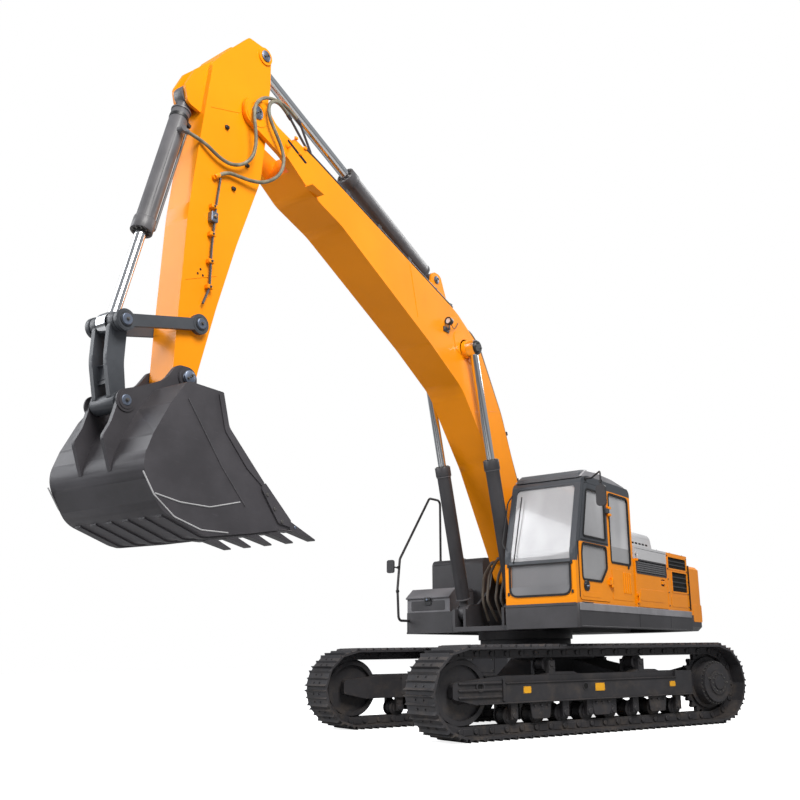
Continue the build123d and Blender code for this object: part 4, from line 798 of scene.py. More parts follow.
    def lathe(self, finish: Finish, profile: Sequence[tuple[float, float]], centre: Point,
              out: Point = UP, steps: int = 20, places: Places = REST) -> None:
        """Turned shape that stands out from a centre.

        Args:
            finish: its finish.
            profile: height and radius of each point, from foot to top.
            centre: middle of its foot.
            out: direction in which it stands out.
            steps: number of faces round it.
            places: where it goes.
        """
        shape = bmesh.new()
        line = [shape.verts.new((radius, 0.0, height)) for height, radius in profile]
        edges = [shape.edges.new(pair) for pair in zip(line, line[1:])]
        bmesh.ops.spin(shape, geom=line + edges, cent=(0, 0, 0), axis=UP,
                       angle=math.tau, steps=steps, use_merge=True)
        bmesh.ops.remove_doubles(shape, verts=shape.verts[:], dist=MERGE)
        holes = [e for e in shape.edges if e.is_boundary]
        if holes:
            bmesh.ops.holes_fill(shape, edges=holes, sides=0)
        self.add(finish, shape, [place @ on(centre, out) for place in places])

    def disc(self, finish: Finish, centre: Point, out: Point, radius: float, depth: float,
             edge: float = 0.002, steps: int = 20, places: Places = REST) -> None:
        """Round disc that stands out from a centre.

        Args:
            finish: its finish.
            centre: middle of its foot.
            out: direction in which it stands out.
            radius: its radius.
            depth: its thickness.
            edge: width of its broken rim.
            steps: number of faces round it.
            places: where it goes.
        """
        profile = [(0.0, 0.0), (0.0, radius), (depth - edge, radius), (depth, radius - edge),
                   (depth, 0.0)]
        self.lathe(finish, profile, centre, out, steps, places)

    def ring(self, finish: Finish, centre: Point, out: Point, inner: float, outer: float,
             depth: float, steps: int = 24, places: Places = REST) -> None:
        """Flat ring that stands out from a centre.

        Args:
            finish: its finish.
            centre: middle of its foot.
            out: direction in which it stands out.
            inner: radius of its hole.
            outer: its own radius.
            depth: its thickness.
            steps: number of faces round it.
            places: where it goes.
        """
        profile = [(0.0, inner), (0.0, outer), (depth, outer), (depth, inner), (0.0, inner)]
        self.lathe(finish, profile, centre, out, steps, places)

    def bolts(self, finish: Finish, centres: Iterable[Point], out: Point, radius: float,
              places: Places = REST) -> None:
        """Hexagon heads on thin washers.

        Args:
            finish: their finish.
            centres: middle of each bolt.
            out: direction in which they stand out.
            radius: a head's radius.
            places: where they go.
        """
        spots = [place @ on(centre, out) for place in places for centre in centres]
        head = bmesh.new()
        bmesh.ops.create_cone(head, cap_ends=True, segments=6, radius1=radius, radius2=radius,
                              depth=radius * 1.3)
        head.transform(Matrix.Translation((0.0, 0.0, radius * 0.8)))
        self._soften(head, head.edges, radius * 0.1)
        self.add(finish, head, spots)
        washer = bmesh.new()
        bmesh.ops.create_cone(washer, cap_ends=True, segments=12, radius1=radius * 1.45,
                              radius2=radius * 1.35, depth=radius * 0.35)
        washer.transform(Matrix.Translation((0.0, 0.0, radius * 0.12)))
        self.add(finish, washer, spots)

    def bolt_ring(self, finish: Finish, centre: Point, out: Point, reach: float, count: int,
                  radius: float, places: Places = REST) -> None:
        """Ring of bolts round a centre.

        Args:
            finish: their finish.
            centre: middle of the ring.
            out: direction in which they stand out.
            reach: the ring's radius.
            count: number of bolts.
            radius: a head's radius.
            places: where they go.
        """
        frame_there = on(centre, out)
        spots = [(reach * math.cos(math.tau * i / count), reach * math.sin(math.tau * i / count),
                  0.0) for i in range(count)]
        self.bolts(finish, spots, UP, radius, [place @ frame_there for place in places])

    def pipe(self, finish: Finish, points: Sequence[Point], radius: float,
             bend: float = 0.05, places: Places = REST, sides: int = 2) -> None:
        """Round bar along straight runs joined by soft bends.

        Args:
            finish: its finish.
            points: ends of the runs.
            radius: half its thickness.
            bend: how far before a corner the bend starts.
            places: where it goes.
            sides: fineness of its section.
        """
        spots = [Vector(point) for point in points]
        guide = [spots[0]]
        for back, here, ahead in zip(spots, spots[1:], spots[2:]):
            for other in (back, ahead):
                run = other - here
                guide.append(here + run.normalized() * min(bend, run.length * 0.45))
                if other is back:
                    guide.append(here)
        guide.append(spots[-1])
        curve = bpy.data.curves.new("route", "CURVE")
        curve.dimensions = "3D"
        curve.bevel_depth, curve.bevel_resolution = radius, sides
        curve.resolution_u, curve.use_fill_caps = 3, True
        spline = curve.splines.new("NURBS")
        spline.points.add(len(guide) - 1)
        for point, spot in zip(spline.points, guide):
            point.co = (*spot, 1.0)
        spline.order_u = 3 if len(guide) > 2 else 2
        spline.use_endpoint_u = True
        holder = bpy.data.objects.new("route", curve)
        mesh = bpy.data.meshes.new_from_object(holder)
        shape = bmesh.new()
        shape.from_mesh(mesh)
        bpy.data.objects.remove(holder)
        bpy.data.curves.remove(curve)
        bpy.data.meshes.remove(mesh)
        bmesh.ops.remove_doubles(shape, verts=shape.verts[:], dist=MERGE)
        self.add(finish, shape, places)

    def weld(self, finish: Finish, points: Sequence[Point], radius: float = 0.006,
             places: Places = REST) -> None:
        """Bead of a weld, half sunk along its seam."""
        self.pipe(finish, points, radius, 0.03, places, 1)

    def done(self, body: str,
             bend: tuple[str, Point, Point] | None = None) -> None:
        """Turns the form into an object that rides on a body; a piece with a bend stays where it
        is, on no body.

        Args:
            body: the CAD body.
            bend: for a piece that runs between two bodies; only whether it is given is read, not
                its body or points.
        """
        bmesh.ops.recalc_face_normals(self.whole, faces=self.whole.faces[:])
        for edge in self.whole.edges:
            edge.smooth = edge.calc_face_angle(0.0) < SHARP
        for face in self.whole.faces:
            face.smooth = True
        mesh = bpy.data.meshes.new(self.name)
        self.whole.to_mesh(mesh)
        count = len(self.whole.faces)
        self.whole.free()
        for finish in self.finishes:
            mesh.materials.append(finish.material())
        piece = put(self.name, mesh)
        if bend:
            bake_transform(piece)
        else:
            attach(piece, body)
        log.info("made %s with %d faces", self.name, count)


@dataclass(frozen=True)
class Camera:
    """The camera of the photograph."""

    place: Point = (11.428, 6.295, 0.931)
    yaw: float = 3.715
    pitch: float = 0.248
    roll: float = -0.016
    focal: float = 927.46
    shift: Point = (-55.18, 20.09)
    picture: float = 800.0
    sensor: float = 36.0

    def make(self) -> None:
        """Puts the camera in the scene."""
        lens = bpy.data.cameras.new("camera")
        lens.sensor_width = self.sensor
        lens.lens = self.focal / self.picture * self.sensor
        lens.shift_x = self.shift[0] / self.picture
        lens.shift_y = self.shift[1] / self.picture
        lens.clip_end = 200.0
        camera = put("camera", lens)
        ahead = Vector((math.cos(self.yaw) * math.cos(self.pitch),
                        math.sin(self.yaw) * math.cos(self.pitch), math.sin(self.pitch)))
        turn = ahead.to_track_quat("-Z", "Y").to_matrix().to_4x4()
        camera.matrix_world = (Matrix.Translation(self.place) @ turn
                               @ Matrix.Rotation(self.roll, 4, "Z"))
        bpy.context.scene.camera = camera


@dataclass(frozen=True)
class Studio:
    """Pale floor, white background and soft lamps."""

    floor_half: float = 60.0
    floor_pale: float = 0.9
    floor_dim: float = 0.4
    glow: float = 0.8
    sky: float = 0.34
    aim: Point = (1.5, 0.0, 2.5)
    lamps: tuple[tuple[str, Point, float, float, Colour], ...] = (
        ("key", (9.0, 9.0, 13.0), 7.0, 2550.0, (1.0, 0.98, 0.95)),
        ("fill", (12.0, -9.0, 8.0), 9.0, 1200.0, (0.95, 0.97, 1.0)),
        ("back", (-10.0, 2.0, 12.0), 8.0, 900.0, (1.0, 1.0, 1.0)))

    def make(self) -> None:
        """Builds the floor, the world and the lamps."""
        form = bmesh.new()
        bmesh.ops.create_grid(form, x_segments=1, y_segments=1, size=self.floor_half)
        mesh = bpy.data.meshes.new("floor")
        form.to_mesh(mesh)
        form.free()
        mesh.materials.append(self._floor_finish())
        put("floor", mesh)
        self._world()
        for name, place, size, power, warmth in self.lamps:
            lamp = bpy.data.lights.new(name, "AREA")
            lamp.size, lamp.energy, lamp.color = size, power, warmth
            turn = (Vector(self.aim) - Vector(place)).to_track_quat("-Z", "Y")
            put(name, lamp).matrix_world = (Matrix.Translation(place) @ turn.to_matrix().to_4x4())

    def _floor_finish(self) -> bpy.types.Material:
        """White to the camera, and a plain pale floor to all other light.

        Returns:
            The floor's material.
        """
        material = bpy.data.materials.new("floor_white")
        graph = Graph(material)
        pale, dim = (graph.node("ShaderNodeBsdfDiffuse", {}, {"Color": (grey, grey, grey)})
                     for grey in (self.floor_pale, self.floor_dim))
        glow = graph.node("ShaderNodeEmission", {}, {"Strength": self.glow})
        seen = graph.node("ShaderNodeLightPath", {}, {}, "Is Camera Ray")
        both = graph.node("ShaderNodeAddShader", {}, {0: pale, 1: glow})
        graph.end(graph.node("ShaderNodeMixShader", {}, {0: seen, 1: dim, 2: both}))
        return material

    def _world(self) -> None:
        """White behind the object, and a softer sky for the light."""
        world = bpy.context.scene.world = bpy.data.worlds.new("studio")
        graph = Graph(world)
        seen = graph.node("ShaderNodeLightPath", {}, {}, "Is Camera Ray")
        soft, white = (graph.node("ShaderNodeBackground", {}, {"Color": tint, "Strength": power})
                       for tint, power in (((0.93, 0.96, 1.0), self.sky), ((1.0, 1.0, 1.0), 1.0)))
        graph.end(graph.node("ShaderNodeMixShader", {}, {0: seen, 1: soft, 2: white}),
                  "ShaderNodeOutputWorld")


@dataclass
class Crawler:
    """What shows on the tracks and their frames, in the crawler's own turned frame."""

    slew: float = -23.2
    gauge: float = 2.59
    wheelbase: float = 4.04
    axle: float = 0.521
    pin_loop: float = 0.416
    shoes: int = 50
    frame_face: float = 1.505
    frame_top: float = 0.69
    frame_foot: float = 0.385
    label_height: float = 0.53
    roller_height: float = 0.2503
    roller_radius: float = 0.095
    rollers: tuple[float, ...] = tuple(-1.33 + 0.38 * i for i in range(8))
    carrier_height: float = 0.812
    carrier_radius: float = 0.075
    carriers: tuple[float, ...] = (-0.7, 0.76)
    hub_out: float = 0.265
    bearing_top: float = 1.02

    def sides(self) -> list[Matrix]:
        """Turns the crawler to its slew.

        Returns:
            The crawler's frame, and its mirror image.
        """
        turned = Matrix.Rotation(math.radians(self.slew), 4, "Z")
        return [turned, turned @ MIRRORED]

    def _pin(self, index: float) -> Vector:
        """Finds a pin of the chain.

        Args:
            index: number of the pin, counted forward from under the drive wheel.

        Returns:
            Its place along the track and its height over the axle.
        """
        half, radius = self.wheelbase / 2, self.pin_loop
        arc = math.pi * radius
        loop = 2 * self.wheelbase + 2 * arc
        travel = (index * loop / self.shoes) % loop
        if travel < self.wheelbase:
            return Vector((travel - half, -radius))
        travel -= self.wheelbase
        if travel < arc:
            turn = travel / radius - math.pi / 2
            return Vector((half + radius * math.cos(turn), radius * math.sin(turn)))
        travel -= arc
        if travel < self.wheelbase:
            return Vector((half - travel, radius))
        turn = (travel - self.wheelbase) / radius + math.pi / 2
        return Vector((radius * math.cos(turn) - half, radius * math.sin(turn)))

    def _links(self) -> list[Matrix]:
        """Finds every link of the left chain.

        Returns:
            Frame of each link: X along the chain, Y across, Z outward.
        """
        frames = []
        for index in range(self.shoes):
            start, end = self._pin(index), self._pin(index + 1)
            along = (end - start).normalized()
            middle = (start + end) / 2
            turn = Matrix(((along.x, 0.0, along.y), (0.0, 1.0, 0.0), (along.y, 0.0, -along.x)))
            frames.append(Matrix.Translation((middle.x, self.gauge / 2, self.axle + middle.y))
                          @ turn.to_4x4())
        return frames

    def chains(self) -> None:
        """Bolts on every shoe, and links with pin heads on every rail."""
        form = Form("track_details")
        spots = [side @ link for side in self.sides() for link in self._links()]
        bolts = [(x, y, 0.076) for x in (-0.052, 0.052) for y in (-0.082, 0.082)]
        form.bolts(BOLT_DARK, bolts, UP, 0.011, spots)
        for side in (1.0, -1.0):
            form.box(TRACK_BLACK, (-0.062, side * 0.1, -0.03), (0.062, side * 0.108, 0.044),
                     0.006, spots)
            form.disc(TRACK_BLACK, (-0.105, side * 0.108, 0.0), (0.0, side, 0.0), 0.03, 0.012,
                      0.003, 10, spots)
        form.box(TRACK_BLACK, (0.078, -0.296, 0.052), (0.1, 0.296, 0.066), 0.003, spots)
        form.done("crawler")

    def frames(self) -> None:
        """Lips, ribs, plates, holes and guards of the track frames."""
        form = Form("frame_details")
        sides, y = self.sides(), self.frame_face
        top, foot = self.frame_top, self.frame_foot
        form.box(BODY_BLACK, (-1.26, y - 0.008, top - 0.088), (1.48, y + 0.016, top - 0.07),
                 0.005, sides)
        form.box(BODY_BLACK, (-1.55, y - 0.008, foot), (1.86, y + 0.02, foot + 0.018), 0.006,
                 sides)
        form.box(BODY_BLACK, (1.5, y - 0.01, foot + 0.03), (1.53, y + 0.026, top - 0.03), 0.006,
                 sides)
        for height in (0.455, 0.53, 0.605):
            form.box(BODY_BLACK, (1.54, y - 0.008, height), (2.13, y + 0.024, height + 0.03),
                     0.009, sides)
        form.lathe(BODY_BLACK, [(0.0, 0.034), (0.022, 0.042), (0.022, 0.056), (0.0, 0.062),
                                (0.0, 0.034)], (1.84, y, 0.582), LEFT, places=sides)
        form.disc(SHADOW, (1.84, y + 0.002, 0.582), LEFT, 0.036, 0.003, 0.0, 16, sides)
        form.disc(SHADOW, (0.28, y, 0.545), LEFT, 0.032, 0.003, 0.0, 16, sides)
        form.ring(BODY_BLACK, (0.28, y, 0.545), LEFT, 0.034, 0.046, 0.006, 16, sides)
        for x, wide, high in ((1.17, 0.11, 0.075), (0.05, 0.15, 0.09), (-1.2, 0.1, 0.065)):
            z = self.label_height
            form.box(LABEL, (x - wide / 2, y - 0.002, z - high / 2),
                     (x + wide / 2, y + 0.004, z + high / 2), 0.001, sides)
            form.bolts(BOLT_STEEL, [(x + dx * wide * 0.44, y + 0.004, z + dz * high * 0.4)
                                    for dx in SIGNS for dz in SIGNS], LEFT, 0.003, sides)
        for x0, x1 in ((-1.05, -0.55), (0.32, 0.86)):
            form.plate(BODY_BLACK, [(x0, top - 0.004), (x1, top - 0.004), (x1 - 0.1, top + 0.03),
                                    (x0 + 0.1, top + 0.03)], y - 0.2, y - 0.045, edge=0.004,
                       places=sides)
            form.weld(BODY_BLACK, [(x0, y - 0.045, top), (x1, y - 0.045, top)], 0.006, sides)
        for x in (-0.95, 0.0, 0.95):
            form.plate(BODY_BLACK, [(x - 0.16, foot), (x + 0.16, foot), (x + 0.13, 0.2, 0.04),
                                    (x - 0.13, 0.2, 0.04)], y - 0.052, y - 0.03, edge=0.006,
                       places=sides)
            form.bolts(BOLT_DARK, [(x + dx, y - 0.03, 0.35) for dx in (-0.1, 0.0, 0.1)],
                       LEFT, 0.012, sides)
        form.done("crawler")

    def wheels(self) -> None:
        """Flanges and caps of the rollers, hub bolts of idlers and drives."""
        form = Form("roller_details")
        sides, middle = self.sides(), self.gauge / 2
        for height, radius, bolt, places in (
                (self.roller_height, self.roller_radius, 0.062, self.rollers),
                (self.carrier_height, self.carrier_radius, -0.055, self.carriers)):
            for x in places:
                for side in SIGNS:
                    form.lathe(BODY_BLACK, [(0.0, radius - 0.02), (0.0, radius + 0.016),
                                            (0.012, radius + 0.018), (0.03, radius - 0.004),
                                            (0.03, radius - 0.02), (0.0, radius - 0.02)],
                               (x, middle + side * 0.078, height), (0, side, 0), places=sides)
                    form.disc(BODY_BLACK, (x, middle + side * 0.168, height), (0, side, 0),
                              0.034, 0.014, 0.004, 14, sides)
                    form.bolts(BOLT_DARK, [(x + dx, middle + side * 0.169, height + bolt)
                                           for dx in (-0.032, 0.032)], (0, side, 0), 0.008, sides)
        hub = (-self.wheelbase / 2, middle + self.hub_out, self.axle)
        form.bolt_ring(BOLT_STEEL, (hub[0], middle + 0.205, hub[2]), LEFT, 0.264, 30, 0.0085,
                       sides)
        form.bolt_ring(BOLT_STEEL, hub, LEFT, 0.118, 12, 0.009, sides)
        form.lathe(BODY_BLACK, [(0.0, 0.0), (0.0, 0.09), (0.016, 0.085), (0.02, 0.05),
                                (0.02, 0.0)], hub, LEFT, 24, sides)
        form.bolts(BOLT_STEEL, [(hub[0] + 0.16, middle + 0.243, hub[2] + 0.06),
                                (hub[0] - 0.17, middle + 0.243, hub[2])], LEFT, 0.014, sides)
        nose = (self.wheelbase / 2, middle + 0.1, self.axle)
        form.lathe(BODY_BLACK, [(-0.05, 0.0), (-0.05, 0.31), (-0.038, 0.3), (-0.03, 0.13),
                                (0.006, 0.1), (0.006, 0.0)], nose, LEFT, 32, sides)
        form.done("crawler")

    def centre(self) -> None:
        """Welds and covers of the car body, and the swing bearing's bolts and lip."""
        form = Form("car_body_details")
        turned = self.sides()[0]
        form.bolt_ring(BOLT_DARK, (0.0, 0.0, self.bearing_top), UP, 0.628, 36, 0.013, [turned])
        form.ring(BODY_BLACK, (0.0, 0.0, 1.005), UP, 0.642, 0.652, 0.012, 48, [turned])
        for fore in SIGNS:
            form.box(BODY_BLACK, (fore * 0.722 - 0.006, -0.26, 0.7),
                     (fore * 0.722 + 0.006, 0.26, 0.9), 0.004, [turned])
            form.bolts(BOLT_STEEL, [(fore * 0.729, y, z) for y in (-0.23, 0.23)
                                    for z in (0.73, 0.87)], (fore, 0, 0), 0.01, [turned])
            for near, far, y, z in ((0.7, 1.32, 1.08, 0.672), (0.2, 0.66, 0.562, 0.892)):
                form.weld(BODY_BLACK, [(fore * near, y, z), (fore * far, y, z)], 0.008,
                          self.sides())
        form.disc(BODY_BLACK, (0.0, 0.0, 0.462), DOWN, 0.2, 0.012, 0.003, 32, [turned])
        form.bolt_ring(BOLT_STEEL, (0.0, 0.0, 0.452), DOWN, 0.175, 8, 0.01, [turned])
        form.done("crawler")

    def make(self) -> None:
        """Builds all of it."""
        self.chains()
        self.frames()
        self.wheels()
        self.centre()


@dataclass
class Cabin:
    """Frames, seals, hardware and interior trim of the operator's cab."""

    rear: float = -0.42
    right: float = 0.492
    left: float = 1.455
    upper_pane: Outline = (
        (0.455, 2.31, 0.04), (1.135, 2.31, 0.04), (0.978, 2.92, 0.06), (0.455, 2.92, 0.05))
    lower_pane: Outline = ((0.64, 1.785, 0.06), (1.187, 1.785, 0.06), (1.187, 2.1, 0.12),
                           (1.158, 2.225, 0.05), (0.455, 2.225, 0.05), (0.455, 1.96, 0.06))
    quarter: Outline = (
        (-0.335, 2.05, 0.05), (0.3, 2.05, 0.04), (0.3, 2.945, 0.06), (-0.335, 2.945, 0.07))
    rear_pane: Outline = (
        (0.582, 2.12, 0.05), (1.365, 2.12, 0.05), (1.365, 2.93, 0.06), (0.582, 2.93, 0.06))
    right_pane: Outline = ((-0.3, 2.0, 0.05), (1.18, 2.0, 0.05), (1.18, 2.22, 0.15),
                           (0.985, 2.93, 0.06), (-0.3, 2.93, 0.06))

    def seals(self) -> None:
        """Seals of the fixed panes, the front's bar and lower pane, and the roof's rims."""
        form = Form("cab_frames")
        for outline, low, high in ((self.quarter, self.left - 0.012, self.left + 0.006),
                                   (self.right_pane, self.right - 0.006, self.right + 0.012)):
            form.surround(SEAL, outline, 0.016, 0.012, low, high)
        form.surround(SEAL, self.rear_pane, 0.016, 0.012, self.rear - 0.006,
                      self.rear + 0.012, Axis.X)
        form.plate(SHADOW, panel(0.354, 2.78, 0.372, 2.96, 0.008), self.left, self.left + 0.0025,
                   edge=0.0)
        form.box(FRAME_GREY, (1.35, 0.55, 1.99), (1.364, 1.39, 2.028), 0.003)
        pane = [(0.552, 1.995, 0.01), (1.388, 1.995, 0.01), (1.388, 1.602, 0.11),
                (0.552, 1.602, 0.11)]
        # Glass plate under the lower front pane, coloured with painted reflection.
        form.plate(LOW_GLASS, [(0.57, 1.72), (1.37, 1.72), (1.37, 1.612, 0.1), (0.57, 1.612, 0.1)],
                   1.351, 1.356, Axis.X, 0.0)
        form.surround(SEAL, pane, 0.018, 0.006, 1.349, 1.363, Axis.X)
        for y in (1.403, 0.535):
            for z in (1.985, 1.64):
                form.box(BLACK_STEEL, (1.348, y - 0.012, z - 0.02), (1.366, y + 0.012, z + 0.02),
                         0.004)
        rim = [(-0.41, 3.07), (-0.27, 3.11), (0.12, 3.155), (0.6, 3.175), (0.93, 3.155),
               (1.075, 3.06), (1.0, 3.06), (-0.41, 3.04)]
        for y0, y1 in ((0.51, 0.545), (1.405, 1.44)):
            form.plate(RIM_GREY_AND_HIGHLIGHT, rim, y0, y1, edge=0.008)
        visor = [(0.8, 3.08), (1.078, 3.05), (1.062, 3.1), (0.94, 3.165), (0.8, 3.185)]
        form.plate(FRAME_GREY, visor, 0.54, 1.41, edge=0.008)
        form.done("upper")

    def hardware(self) -> None:
        """Drain pipe, wiper, door sill, pressed ribs, cap and aerial."""
        form = Form("cab_hardware")
        form.pipe(BLACK_STEEL, [(1.36, 0.5, 2.2), (1.352, 0.462, 2.26), (1.2, 0.47, 2.8),
                                (1.14, 0.51, 2.9)], 0.009, 0.04)
        form.pipe(BLACK_STEEL, [(1.366, 0.62, 2.01), (1.368, 0.64, 2.1), (1.17, 0.66, 2.86)],
                  0.007, 0.03)
        form.box(BLACK_STEEL, (0.975, 1.3, 2.62), (0.985, 1.36, 2.7), 0.003)
        form.box(BLACK_STEEL, (0.98, 1.46, 1.512), (1.25, 1.5, 1.52), 0.003)
        y = self.left
        form.plate(ORANGE, panel(-0.36, 1.58, 0.3, 1.98, 0.03), y, y + 0.0035, edge=0.002)
        for i in range(4):
            x = -0.3 + 0.07 * i
            form.plate(ORANGE, panel(x, 1.67, x + 0.03, 1.95, 0.012), y, y + 0.012, edge=0.005)
        form.disc(BLACK_STEEL, (-0.25, y, 2.02), LEFT, 0.022, 0.012)
        form.pipe(BLACK_STEEL, [(-0.3, 0.6, 3.08), (-0.3, 0.6, 3.19)], 0.005)
        form.disc(BLACK_STEEL, (-0.3, 0.6, 3.084), UP, 0.03, 0.02)
        form.done("upper")

    def door_trim(self) -> None:
        """Seals, belt line, handle, lock, seam and pressed panel of the door."""
        form = Form("door_trim")
        y = self.left + 0.006
        form.surround(SEAL, self.upper_pane, 0.018, 0.004, y - 0.006, y + 0.009)
        form.surround(SEAL, self.lower_pane, 0.016, 0.012, y - 0.006, y + 0.007)
        form.plate(SEAL, [(0.4, 2.262), (1.195, 2.262), (1.192, 2.274), (0.4, 2.274)], y - 0.002,
                   y + 0.003, edge=0.0)
        form.plate(BLACK_STEEL, panel(1.01, 1.655, 1.165, 1.775, 0.06), y, y + 0.012, edge=0.004)
        form.bar(PIN_STEEL, (1.05, y + 0.024, 1.712), (1.13, y + 0.024, 1.702), 0.016, 0.024,
                 0.005)
        form.disc(PIN_STEEL, (1.138, y + 0.012, 1.735), LEFT, 0.01, 0.006)
        form.box(SEAL, (1.262, y - 0.01, 1.58), (1.274, y + 0.001, 2.24), 0.0)
        form.plate(ORANGE, panel(0.66, 1.585, 1.2, 1.645, 0.03), y, y + 0.003, edge=0.001)
        form.done("cab_door")

    def interior(self) -> None:
        """Head rest, bolsters, armrests, lever boots, screen, rear box, blind and mat."""
        form = Form("cab_interior")
        form.box(SEAT_CLOTH, (0.02, 0.8, 2.56), (0.13, 1.15, 2.76), 0.03)
        for outer, inner in ((0.76, 0.81), (1.19, 1.14)):
            form.box(SEAT_CLOTH, (0.16, outer, 1.95), (0.56, inner, 2.0), 0.02)
            form.box(SEAT_CLOTH, (-0.02, outer, 2.0), (0.13, inner, 2.5), 0.02)
            form.box(TRIM, (0.02, outer, 2.14), (0.42, inner, 2.2), 0.02)
        for y in (0.9, 1.05):
            form.pipe(TRIM, [(0.06, y, 2.5), (0.06, y, 2.6)], 0.01)
        for y in (0.636, 1.305):
            form.lathe(RUBBER, [(0.0, 0.06), (0.02, 0.055), (0.03, 0.04), (0.05, 0.042),
                                (0.06, 0.03), (0.09, 0.02), (0.0, 0.02), (0.0, 0.06)],
                       (0.585, y, 2.035), UP, 14)
            form.disc(BOLT_STEEL, (0.61, y, 2.312), UP, 0.02, 0.012, 0.004, 12)
        form.box(TRIM, (0.96, 0.56, 2.18), (0.99, 0.78, 2.36), 0.012)
        form.plate(SCREEN, panel(0.575, 2.195, 0.765, 2.345, 0.008), 0.952, 0.962, Axis.X, 0.002)
        form.pipe(TRIM, [(0.98, 0.66, 1.66), (0.98, 0.62, 2.2)], 0.016)
        form.box(TRIM, (-0.2, 0.56, 1.6), (0.02, 1.39, 2.0), 0.03)
        form.pipe(TRIM, [(0.98, 0.58, 2.9), (0.98, 1.37, 2.9)], 0.022)
        form.plate(SEAT_CLOTH, [(0.6, 1.575), (1.36, 1.575), (1.36, 1.582), (0.6, 1.582)],
                   0.56, 1.28, Axis.X, 0.0)
        form.done("upper")

    def make(self) -> None:
        """Builds all of it."""
        self.seals()
        self.hardware()
        self.door_trim()
        self.interior()


